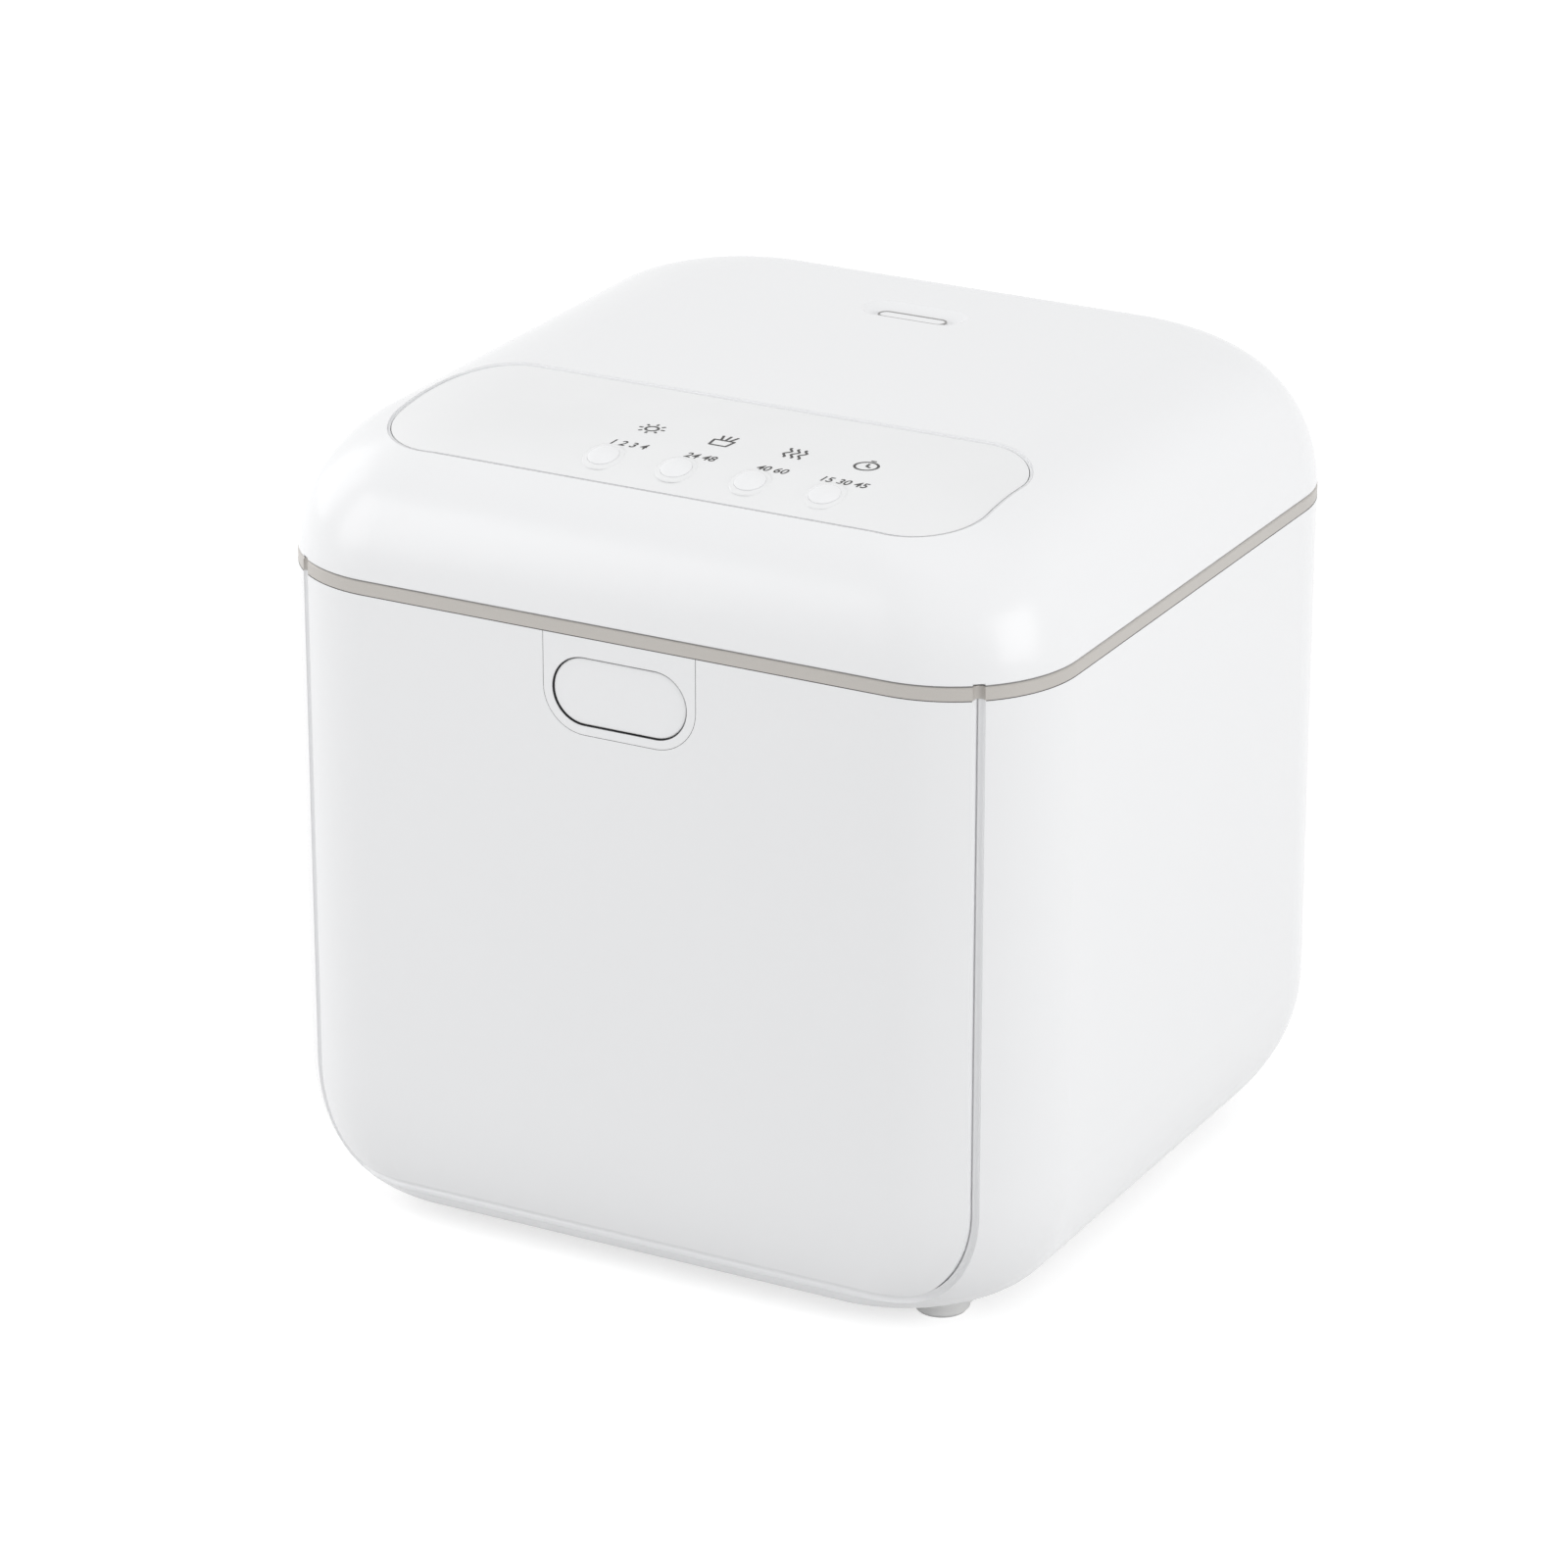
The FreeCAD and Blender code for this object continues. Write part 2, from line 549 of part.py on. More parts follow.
def foot(x, y):
    """Soft round foot: wide top step, bevelled lower step, a plug into the shell."""
    outline = [(0, 0), (8.7, 0), (9.7, 1.2), (9.7, 3.6), (11.3, 4.4), (11.3, FOOT_HEIGHT - 0.7),
               (10.6, FOOT_HEIGHT), (4.0, FOOT_HEIGHT), (4.0, FOOT_HEIGHT + 4), (0, FOOT_HEIGHT + 4), (0, 0)]
    face = Part.Face(Part.makePolygon([V(r, 0, z) for r, z in outline]))
    turned = face.revolve(V(0, 0, 0), AXIS_Z, 360)
    turned.translate(V(x, y, 0))
    return turned


def base_cover():
    """Bottom plate with the fan's intake slots and stand-offs for the power board."""
    plate = slab(BASE_HALF - 0.3, BASE_FRONT + 0.3, BASE_BACK - 0.3, 13.7, UNDER_Z, UNDER_Z + BASE_THICK)
    slots = []
    for index in range(7):
        y = FAN_Y - 30 + 10 * index
        reach = math.sqrt(36 ** 2 - (y - FAN_Y) ** 2)
        slots.append(box(FAN_X - reach, FAN_X + reach, y - 2.5, y + 2.5, UNDER_Z - 1, UNDER_Z + 5))
    slots += [rod(1.7, V(x, y, UNDER_Z - 1), V(x, y, UNDER_Z + 5)) for x, y in screw_places()]
    posts = [rod(3, V(x, y, UNDER_Z + BASE_THICK), V(x, y, 14)) for x, y in board_corners()]
    return cut_all(plate, slots).fuse(Part.makeCompound(posts)).removeSplitter()


def base_screws():
    """Four pan-head screws; heads sit on the base cover, inside the height of the feet."""
    screws = []
    for x, y in screw_places():
        head = rod(2.9, V(x, y, UNDER_Z - 1.6), V(x, y, UNDER_Z))
        shank = rod(1.5, V(x, y, UNDER_Z), V(x, y, UNDER_Z + 8))
        screws.append(head.fuse(shank).removeSplitter())
    return Part.makeCompound(screws)


def fan_housing():
    """Square axial fan frame with a round throat, four spokes and four stand-offs."""
    top = FAN_BOTTOM + FAN_HEIGHT
    frame = box(FAN_X - FAN_HALF, FAN_X + FAN_HALF, FAN_Y - FAN_HALF, FAN_Y + FAN_HALF, FAN_BOTTOM, top)
    upright = [e for e in frame.Edges if e.BoundBox.ZLength > 10]
    frame = frame.makeFillet(5, upright)
    frame = frame.cut(rod(38.5, V(FAN_X, FAN_Y, FAN_BOTTOM - 1), V(FAN_X, FAN_Y, top + 1)))
    spokes = []
    for index in range(4):
        spoke = box(10, 39.2, -2, 2, FAN_BOTTOM, FAN_BOTTOM + 2.4)
        spoke.rotate(V(0, 0, 0), AXIS_Z, 45 + 90 * index)
        spoke.translate(V(FAN_X, FAN_Y, 0))
        spokes.append(spoke)
    hub = rod(15, V(FAN_X, FAN_Y, FAN_BOTTOM), V(FAN_X, FAN_Y, FAN_BOTTOM + 2.4))
    corners = [(FAN_X + across, FAN_Y + along) for across in (-36, 36) for along in (-36, 36)]
    legs = [rod(3, V(x, y, UNDER_Z + BASE_THICK), V(x, y, FAN_BOTTOM)) for x, y in corners]
    return fuse_all([frame, hub] + spokes + legs)


def fan_motor():
    """Stator with a bored centre that the impeller's shaft runs in."""
    low = FAN_BOTTOM + 2.4
    stator = rod(14, V(FAN_X, FAN_Y, low), V(FAN_X, FAN_Y, low + 11))
    return stator.cut(rod(1.55, V(FAN_X, FAN_Y, low - 1), V(FAN_X, FAN_Y, low + 12)))


def fan_impeller():
    """Hub cup with seven twisted blades and a shaft."""
    low, high = FAN_BOTTOM + 4, FAN_BOTTOM + 22
    cup = rod(18, V(0, 0, low), V(0, 0, high)).cut(rod(15.4, V(0, 0, low - 1), V(0, 0, high - 3)))
    shaft = rod(1.5, V(0, 0, FAN_BOTTOM + 3.4), V(0, 0, high - 2))
    blades = []
    for index in range(7):
        ends = []
        for reach, pitch in ((17, 48), (37.3, 26)):
            half = 9.0 / math.sin(math.radians(max(pitch, 40)))
            section = Part.makePolygon([V(reach, -half, -0.7), V(reach, half, -0.7), V(reach, half, 0.7),
                                        V(reach, -half, 0.7), V(reach, -half, -0.7)])
            section.rotate(V(0, 0, 0), AXIS_X, pitch)
            ends.append(section)
        blade = Part.makeLoft(ends, True, True)
        blade.translate(V(0, 0, (low + high) / 2))
        blade.rotate(V(0, 0, 0), AXIS_Z, 360 / 7 * index)
        blades.append(blade)
    rotor = fuse_all([cup, shaft] + blades)
    keep = rod(37.4, V(0, 0, low), V(0, 0, high + 1)).cut(rod(15.4, V(0, 0, low - 1), V(0, 0, high - 3)))
    rotor = rotor.common(keep.fuse(shaft))
    rotor.translate(V(FAN_X, FAN_Y, 0))
    return rotor


def heater_bars(grow):
    """Two bars that hang the heater in the duct."""
    return [box(FAN_X - 41, FAN_X + 41, FAN_Y + y - 2 - grow, FAN_Y + y + 2 + grow, 43 - grow, 46 + grow)
            for y in (-12, 12)]


def heater_block():
    """Finned heating element on its two bars."""
    fins = [box(FAN_X - 21 + 3 * index - 0.4, FAN_X - 21 + 3 * index + 0.4, FAN_Y - 20, FAN_Y + 20, 40, 49)
            for index in range(15)]
    rails = [box(FAN_X - 21.4, FAN_X + 21.4, FAN_Y + y - 2, FAN_Y + y + 2, 39, 50) for y in (-20, 0, 20)]
    return fuse_all(fins + rails + heater_bars(0))


def air_duct():
    """Transition from the square fan to the round hole in the tank's floor."""
    low, high = FAN_BOTTOM + FAN_HEIGHT, TANK_FLOOR - SHEET
    def funnel(shrink, z0, z1):
        square = round_rect(FAN_HALF - shrink, -FAN_HALF + shrink, FAN_HALF - shrink, 6 - shrink, z0)
        half = 37 - shrink
        throat = round_rect(half, -half, half, half - 0.5, z1)
        return Part.makeLoft([square, throat], True, True)
    duct = funnel(0, low, high).cut(funnel(1.6, low - 0.01, high + 0.01))
    duct.translate(V(FAN_X, FAN_Y, 0))
    return cut_all(duct, heater_bars(0.1))


def board_corners():
    return [(x, y) for x in (-62, -24) for y in (-58, 38)]


def power_board():
    """Circuit board of the power supply, on its four stand-offs."""
    return box(-66, -20, -62, 42, 14, 15.6)


def power_parts():
    """Transformer, capacitors, relay and plugs on the power board."""
    top = 15.6
    parts = [
        box(-60, -34, -20, 4, top, top + 20),
        rod(7, V(-52, 22, top), V(-52, 22, top + 22)),
        rod(5, V(-34, 26, top), V(-34, 26, top + 16)),
        box(-62, -48, -52, -36, top, top + 14),
        box(-40, -26, -54, -44, top, top + 8),
    ]
    return Part.makeCompound(parts)


def power_inlet():
    """Figure-eight inlet socket let into the back wall."""
    low, high = INLET_Z - 8, INLET_Z + 8
    block = box(INLET_X - 14, INLET_X + 14, INLET_FACE - 24, INLET_FACE, low, high)
    along_back = [e for e in block.Edges if e.BoundBox.YLength > 10]
    block = block.makeFillet(2, along_back)
    recess = pill(9.5, 4.6, INLET_FACE - 13, BACK_Y, INLET_Z)
    recess.translate(V(INLET_X, 0, 0))
    return block.cut(recess)


def inlet_contacts():
    """Two round contact pins in the inlet."""
    return Part.makeCompound([
        rod(1.2, V(INLET_X + x, INLET_FACE - 13, INLET_Z), V(INLET_X + x, INLET_FACE - 3, INLET_Z))
        for x in (-4.3, 4.3)])


# ---- hinge --------------------------------------------------------------------------------
def knuckle(x0, x1, near_z, far_z, bore):
    """Barrel on the hinge axis; its web spreads from near_z to far_z on the plate behind it."""
    barrel = rod(HINGE_RADIUS, V(x0, HINGE_Y, HINGE_Z), V(x1, HINGE_Y, HINGE_Z))
    web = Part.Face(Part.makePolygon([
        V(x0, BACK_Y + 0.1, near_z),
        V(x0, HINGE_Y, HINGE_Z),
        V(x0, HINGE_Y + HINGE_RADIUS, HINGE_Z),
        V(x0, BACK_Y + HINGE_PLATE, far_z),
        V(x0, BACK_Y + 0.1, far_z),
        V(x0, BACK_Y + 0.1, near_z),
    ]))
    solid = barrel.fuse(web.extrude(V(x1 - x0, 0, 0)))
    return solid.cut(rod(bore, V(x0 - 1, HINGE_Y, HINGE_Z), V(x1 + 1, HINGE_Y, HINGE_Z)))


def rear_hinge_mount():
    """Plate on the body's back with the two outer barrels."""
    low, high = SEAM_Z - 22, SEAM_Z - 2
    plate = box(-60, 60, BACK_Y, BACK_Y + HINGE_PLATE, low, high)
    return fuse_all([plate] + [knuckle(x, x + 20, high, low, PIN_RADIUS + PIN_PLAY) for x in (-60, 40)])


def lid_hinge_arm():
    """Plate on the lid's back with the two inner barrels."""
    low, high = LID_Z + 0.6, LID_Z + 14
    plate = box(-39.6, 39.6, BACK_Y - 5, BACK_Y + HINGE_PLATE, low, high).cut(lid_form(0))
    return fuse_all([plate] + [knuckle(x, x + 24, low, high, PIN_RADIUS) for x in (-39.6, 15.6)])


def hinge_pin():
    """Steel pin through all the barrels."""
    return rod(PIN_RADIUS, V(-61, HINGE_Y, HINGE_Z), V(61, HINGE_Y, HINGE_Z))


def hinge_damper():
    """Barrel damper between the inner barrels, footed on the body's hinge plate."""
    barrel = rod(HINGE_RADIUS - 1, V(-15, HINGE_Y, HINGE_Z), V(15, HINGE_Y, HINGE_Z))
    foot_plate = box(-10, 10, BACK_Y + HINGE_PLATE, HINGE_Y - 1, SEAM_Z - 12, HINGE_Z - 2)
    bore = rod(PIN_RADIUS + PIN_PLAY, V(-16, HINGE_Y, HINGE_Z), V(16, HINGE_Y, HINGE_Z))
    return barrel.fuse(foot_plate).removeSplitter().cut(bore)


# ---- lid ----------------------------------------------------------------------------------
def panel_slab(grow):
    return slab(PANEL_HALF + grow, PANEL_FRONT - grow, PANEL_BACK + grow, PANEL_RADIUS + grow,
                SEAM_Z, TOP_Z + 10)


def key_place(index):
    """Placement on the lid's surface: local +Z is the outward normal."""
    height, tilt = lid_height(KEY_Y - FRONT_Y)
    spot = V(KEY_FIRST_X + KEY_PITCH * index, KEY_Y, SEAM_Z + height)
    return FreeCAD.Placement(spot, FreeCAD.Rotation(AXIS_X, math.degrees(tilt)))


def key_bore(radius, low, high):
    tools = []
    for index in range(KEY_COUNT):
        tool = rod(radius, V(0, 0, low), V(0, 0, high))
        tool.Placement = key_place(index)
        tools.append(tool)
    return tools


def level_pill(half_x, half_y, y, z):
    """Closed stadium wire, level, long in X."""
    return round_rect(half_x, y - half_y, y + half_y, half_y - 0.05, z)


def vent_dish():
    """Scooped recess near the lid's back edge; its floor lies towards the front."""
    top = level_pill(21, 9.5, VENT_Y + 2.5, TOP_Z + 0.5)
    floor = level_pill(15.5, 4.2, VENT_Y, TOP_Z - 2.4)
    return Part.makeLoft([top, floor], True, True)


def lid_shell():
    """Domed moulding with the sunk seat of the panel, the keys' holes and the vent dish."""
    shell = lid_form(0).cut(lid_form(LID_WALL)).cut(box(-200, 200, -200, 200, SEAM_Z - 10, LID_Z))
    lip = lid_form(-0.5).cut(lid_form(PANEL_SINK)).common(panel_slab(1.3))
    seat = lid_form(-0.5).cut(lid_form(PANEL_SINK + PANEL_THICK + 0.1)).common(panel_slab(0.3))
    slot = Part.Face(level_pill(9, 1.4, VENT_Y, TOP_Z - 6)).extrude(V(0, 0, 10))
    notches = seam_notches(LID_Z - 1, LID_Z + 0.5)
    return cut_all(shell, [lip, seat, vent_dish(), slot] + key_bore(3.3, -12, 2) + notches)


def control_panel():
    """Thin overlay sunk in the lid, with holes for the four keys."""
    skin = lid_form(PANEL_SINK).cut(lid_form(PANEL_SINK + PANEL_THICK)).common(panel_slab(0))
    return cut_all(skin, key_bore(KEY_RADIUS + KEY_PLAY, -4, 4))


def touch_key(index):
    """Low domed key with a stem down to its switch."""
    ball_radius = 14.0
    ball_low = 0.9 - ball_radius
    cap = rod(KEY_RADIUS, V(0, 0, -PANEL_SINK - 0.45), V(0, 0, 2))
    cap = cap.common(Part.makeSphere(ball_radius, V(0, 0, ball_low)))
    stem = rod(2.6, V(0, 0, -6.6), V(0, 0, -PANEL_SINK - 0.4))
    key = cap.fuse(stem)
    key.Placement = key_place(index)
    return key


def control_board():
    """Circuit board under the panel, tilted with the slope of the lid."""
    board = box(-18, KEY_PITCH * 3 + 18, -14, 14, -12.4, -10.8)
    board.Placement = key_place(0)
    return board


def tact_switches():
    """One switch under each key."""
    switches = []
    for index in range(KEY_COUNT):
        body = box(-3, 3, -3, 3, -10.8, -7.8)
        button = rod(1.75, V(0, 0, -7.8), V(0, 0, -7.2))
        switch = body.fuse(button)
        switch.Placement = key_place(index)
        switches.append(switch)
    return Part.makeCompound(switches)


def vent_insert():
    """Pill-shaped slotted plug in the floor of the dish."""
    cap = Part.Face(level_pill(13, 2.9, VENT_Y, TOP_Z - 2.4)).extrude(V(0, 0, 1.0))
    top_edges = [e for e in cap.Edges if e.BoundBox.ZMin > TOP_Z - 1.41]
    cap = cap.makeFillet(0.4, top_edges)
    plug = Part.Face(level_pill(8.8, 1.2, VENT_Y, TOP_Z - 6)).extrude(V(0, 0, 3.6))
    return cap.fuse(plug).removeSplitter()


def lid_liner():
    """Inner cover of the lid with the lamp opening and the slot for the catch."""
    plate = plan_slab(LID_WALL + 0.5, LID_Z + 0.5, LID_Z + 3)
    return cut_all(plate, [
        slab(70, LAMP_Y - 18, LAMP_Y + 18, 6, LID_Z - 1, LID_Z + 5),
        box(-10.3, 10.3, FRONT_Y + 13.7, FRONT_Y + 16.3, LID_Z - 1, LID_Z + 5),
    ])


def lid_seal():
    """Soft ring that closes on the tank's flange."""
    top = LID_Z + 0.5
    base = tank_slab(8.5, top - 2, top).cut(tank_slab(2.5, top - 3, top + 1))
    lip = tank_slab(7, SEAM_Z + 0.9, top - 2).cut(tank_slab(4, SEAM_Z, top))
    return base.fuse(lip).removeSplitter()


def lid_catch():
    """Bent strip: foot on the liner, leg through ring and deck, lip under the shutter's back bar."""
    liner_top = LID_Z + 3
    leg_front = FRONT_Y + 14
    foot_plate = box(-16, 16, leg_front - 4, leg_front + 10, liner_top, liner_top + 2)
    leg = box(-10, 10, leg_front, leg_front + 2, SEAM_Z - 8.1, liner_top)
    lip = box(-10, 10, leg_front, leg_front + 4.8, SEAM_Z - 8.1, SEAM_Z - 6.1)
    return fuse_all([foot_plate, leg, lip])


def uv_window():
    """Quartz pane over the lamp opening."""
    return slab(74, LAMP_Y - 22, LAMP_Y + 22, 5, LID_Z + 3, LID_Z + 5)


def uv_reflector():
    """Half-round polished trough over the lamps."""
    low = LID_Z + 5
    upper = box(-80, 80, LAMP_Y - 30, LAMP_Y + 30, low, low + 30)
    trough = rod(22, V(-74, LAMP_Y, low), V(74, LAMP_Y, low)).common(upper)
    return trough.cut(rod(21, V(-80, LAMP_Y, low), V(80, LAMP_Y, low)))


def uv_lamps():
    """Two thin UV tubes."""
    z = LID_Z + 14
    return Part.makeCompound([rod(4, V(-62, LAMP_Y + y, z), V(62, LAMP_Y + y, z)) for y in (-9, 9)])


def lamp_sockets():
    """Blocks that hold the tube ends inside the reflector."""
    z = LID_Z + 14
    sockets = []
    for side in (-1, 1):
        inner, outer = sorted((side * 56, side * 70))
        block = box(inner, outer, LAMP_Y - 14.5, LAMP_Y + 14.5, LID_Z + 5, z + 5.2)
        mouth = side * 55
        ways = [rod(4, V(mouth, LAMP_Y + y, z), V(side * 62, LAMP_Y + y, z)) for y in (-9, 9)]
        sockets.append(cut_all(block, ways))
    return Part.makeCompound(sockets)


def lid_switch():
    """Reed switch under the top frame."""
    return box(58, 82, FRONT_Y + 14, FRONT_Y + 19, SEAM_Z - 8.2, SEAM_Z - 3.2)


def lid_magnet():
    """Disc magnet on the liner, over the reed switch."""
    return rod(5, V(70, FRONT_Y + 16.5, LID_Z + 3), V(70, FRONT_Y + 16.5, LID_Z + 6))


# ---- write the parts ----------------------------------------------------------------------
PARTS = {
    "body_shell": body_shell,
    "front_panel": front_panel,
    "button_bezel": button_bezel,
    "release_button": release_button,
    "latch_slide": latch_slide,
    "latch_springs": latch_springs,
    "trim_ring": trim_ring,
    "top_frame": top_frame,
    "inner_tank": inner_tank,
    "floor_grille": floor_grille,
    "basket": basket,
    "basket_floor": basket_floor,
    "basket_divider": basket_divider,
    "basket_handle": basket_handle,
    "base_cover": base_cover,
    "base_screws": base_screws,
    "fan_housing": fan_housing,
    "fan_motor": fan_motor,
    "fan_impeller": fan_impeller,
    "heater_block": heater_block,
    "air_duct": air_duct,
    "power_board": power_board,
    "power_parts": power_parts,
    "power_inlet": power_inlet,
    "inlet_contacts": inlet_contacts,
    "rear_hinge_mount": rear_hinge_mount,
    "lid_hinge_arm": lid_hinge_arm,
    "hinge_pin": hinge_pin,
    "hinge_damper": hinge_damper,
    "lid_shell": lid_shell,
    "control_panel": control_panel,
    "control_board": control_board,
    "tact_switches": tact_switches,
    "vent_insert": vent_insert,
    "lid_liner": lid_liner,
    "lid_seal": lid_seal,
    "lid_catch": lid_catch,
    "uv_window": uv_window,
    "uv_reflector": uv_reflector,
    "uv_lamps": uv_lamps,
    "lamp_sockets": lamp_sockets,
    "lid_switch": lid_switch,
    "lid_magnet": lid_magnet,
}

os.makedirs("parts", exist_ok=True)
for name, make in PARTS.items():
    make().exportStep("parts/" + name + ".step")
for name, (x, y) in foot_places().items():
    foot(x, y).exportStep("parts/" + name + ".step")
for name in GRILLE_TURN:
    basket_grille(name).exportStep("parts/basket_grille_" + name + ".step")
for number in range(KEY_COUNT):
    touch_key(number).exportStep("parts/touch_key_" + str(number + 1) + ".step")
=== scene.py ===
import math

import bmesh
import bpy
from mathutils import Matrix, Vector


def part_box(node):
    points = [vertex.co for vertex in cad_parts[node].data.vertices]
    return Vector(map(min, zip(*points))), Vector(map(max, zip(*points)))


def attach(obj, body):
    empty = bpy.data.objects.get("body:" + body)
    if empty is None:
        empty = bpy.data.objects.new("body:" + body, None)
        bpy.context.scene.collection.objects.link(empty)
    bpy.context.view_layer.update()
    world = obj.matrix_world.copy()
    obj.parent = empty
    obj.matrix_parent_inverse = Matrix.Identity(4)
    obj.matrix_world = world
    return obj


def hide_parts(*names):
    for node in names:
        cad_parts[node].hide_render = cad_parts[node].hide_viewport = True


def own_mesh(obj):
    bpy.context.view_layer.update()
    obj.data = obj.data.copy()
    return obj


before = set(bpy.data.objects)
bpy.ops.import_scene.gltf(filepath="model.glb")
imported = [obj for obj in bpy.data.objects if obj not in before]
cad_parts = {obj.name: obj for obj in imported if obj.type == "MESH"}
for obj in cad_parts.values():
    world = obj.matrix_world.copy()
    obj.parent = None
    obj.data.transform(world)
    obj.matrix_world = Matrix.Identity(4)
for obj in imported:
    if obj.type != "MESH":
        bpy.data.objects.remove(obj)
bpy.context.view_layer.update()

# ---------------------------------------------------------------------------------------------
# Body shell
# One injection-moulded wrap of glossy white ABS: sides, back and rolled bottom edges, with a
# groove round the front plate. Moulded colour, no paint; the tool is polished, so the skin is
# glossy with a faint orange peel.

SHELL_WHITE = (0.885, 0.89, 0.9)


class Wire:
    """A value on its way through a finish. Python's operators on it add Math nodes."""

    def __init__(self, wiring, socket):
        self.wiring = wiring
        self.socket = socket

    def maths(self, operation, *values):
        return self.wiring.node("ShaderNodeMath", {"operation": operation}, dict(enumerate(values)))

    def __add__(self, other):
        return self.maths("ADD", self, other)

    def __sub__(self, other):
        return self.maths("SUBTRACT", self, other)

    def __mul__(self, other):
        return self.maths("MULTIPLY", self, other)

    def __truediv__(self, other):
        return self.maths("DIVIDE", self, other)

    def __radd__(self, other):
        return self.maths("ADD", other, self)

    def __rsub__(self, other):
        return self.maths("SUBTRACT", other, self)

    def __rmul__(self, other):
        return self.maths("MULTIPLY", other, self)

    def __rtruediv__(self, other):
        return self.maths("DIVIDE", other, self)


class Wiring:
    """Adds nodes to one node tree; values and links go straight into their sockets."""

    def __init__(self, tree):
        self.tree = tree

    def join(self, socket, value):
        if isinstance(value, Wire):
            self.tree.links.new(value.socket, socket)
        elif isinstance(value, tuple) and len(value) == 3 and socket.type == "RGBA":
            socket.default_value = (*value, 1.0)
        else:
            socket.default_value = value

    def node(self, kind, settings=(), inputs=(), out=0):
        made = self.tree.nodes.new(kind)
        for label, value in dict(settings).items():
            setattr(made, label, value)
        for key, value in dict(inputs).items():
            self.join(made.inputs[key], value)
        return Wire(self, made.outputs[out])


class Finish(Wiring):
    """A material written node by node round one Principled shader."""

    def __init__(self, name, **constants):
        self.material = bpy.data.materials.new(name)
        self.material.use_nodes = True
        super().__init__(self.material.node_tree)
        self.shader = self.tree.nodes["Principled BSDF"]
        for label, value in constants.items():
            self.feed(label.replace("_", " ").title().replace("Ior", "IOR"), value)

    def feed(self, label, value):
        self.join(self.shader.inputs[label], value)

    def place(self, scale=(1.0, 1.0, 1.0)):
        spot = self.node("ShaderNodeTexCoord", out="Object")
        return self.node("ShaderNodeMapping", inputs={"Vector": spot, "Scale": scale})

    def noise(self, scale, detail=2.0, stretch=(1.0, 1.0, 1.0)):
        return self.node("ShaderNodeTexNoise",
                         inputs={"Vector": self.place(stretch), "Scale": scale, "Detail": detail})

    def blend(self, amount, low, high):
        """Mixes two colours. A Mix node has its colours in sockets 6 and 7, and their mix in 2."""
        return self.node("ShaderNodeMix", {"data_type": "RGBA"}, {0: amount, 6: low, 7: high}, out=2)

    def relief(self, height, depth, strength=1.0, edge=0.0):
        """Bump of a given depth, over edges that look rounded to the radius edge."""
        bump = self.node("ShaderNodeBump",
                         inputs={"Height": height, "Distance": depth, "Strength": strength})
        if edge:
            rounded = self.node("ShaderNodeBevel", {"samples": 6}, {"Radius": edge})
            self.join(bump.socket.node.inputs["Normal"], rounded)
        self.feed("Normal", bump)


def tint(colour, share):
    """The same colour, lighter or darker by a share."""
    return tuple(min(1.0, part * share) for part in colour)


def gloss_moulding(name, colour, roughness=0.24, edge=0.0004):
    """Polished ABS: a slight drift of the pigment, faint wiped haze, orange peel and eased edges."""
    finish = Finish(name, specular_ior_level=0.5)
    drift = finish.noise(scale=9.0)
    finish.feed("Base Color", finish.blend(drift, tint(colour, 0.994), tint(colour, 1.004)))
    haze = finish.noise(scale=38.0, detail=3.0)
    finish.feed("Roughness", roughness - 0.01 + haze * 0.02)
    finish.relief(finish.noise(scale=420.0), depth=0.00001, strength=0.2, edge=edge)
    return finish.material


def dress(material, *nodes):
    """Gives CAD nodes their material."""
    for node in nodes:
        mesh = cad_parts[node].data
        mesh.materials.clear()
        mesh.materials.append(material)


dress(gloss_moulding("shell_white", SHELL_WHITE), "body_shell")

# ---------------------------------------------------------------------------------------------
# Front plate, bezel and button
# The plate and its bezel are separate mouldings clipped over the front of the shell; the pill
# button is pushed in against the latch springs.

front_white = gloss_moulding("front_white", SHELL_WHITE, roughness=0.2)
dress(front_white, "front_panel", "button_bezel")
button_white = gloss_moulding("button_white", tint(SHELL_WHITE, 1.01), roughness=0.28)
dress(button_white, "release_button")

# ---------------------------------------------------------------------------------------------
# Button lining, painted shade
# A thin black lining with a rubber finish in the bezel's sleeve, just clear of the button. It is
# painted shade: it shows as the dark line round the button, where the gap lies in shade.

BUTTON_FLANGE = 0.001
BUTTON_GAP = 0.00035
BUTTON_SHADE_PRESS = 0.00002
BUTTON_SHADE_WALL = 0.0002
BUTTON_SHADE_DEPTH = 0.004
BUTTON_SHADE_BACK = 0.0042
PILL_POINTS = 96


def select_points(piece, wanted):
    """Selects the points of the piece in edit mode whose place passes the test."""
    points = bmesh.from_edit_mesh(piece.data)
    points.select_mode = {"VERT"}
    for point in points.verts:
        point.select = wanted(point.co)
    points.select_flush_mode()
    bmesh.update_edit_mesh(piece.data)


def open_outline(piece, width, thick):
    """Turns a flat face into a closed band: inset, inner face removed, wall thickened upwards."""
    bpy.ops.mesh.select_all(action="SELECT")
    bpy.ops.mesh.inset(thickness=width, depth=0.0)
    bpy.ops.mesh.delete(type="FACE")
    bpy.ops.object.mode_set(mode="OBJECT")
    wall = piece.modifiers.new("wall", "SOLIDIFY")
    wall.thickness = thick
    wall.offset = 1.0


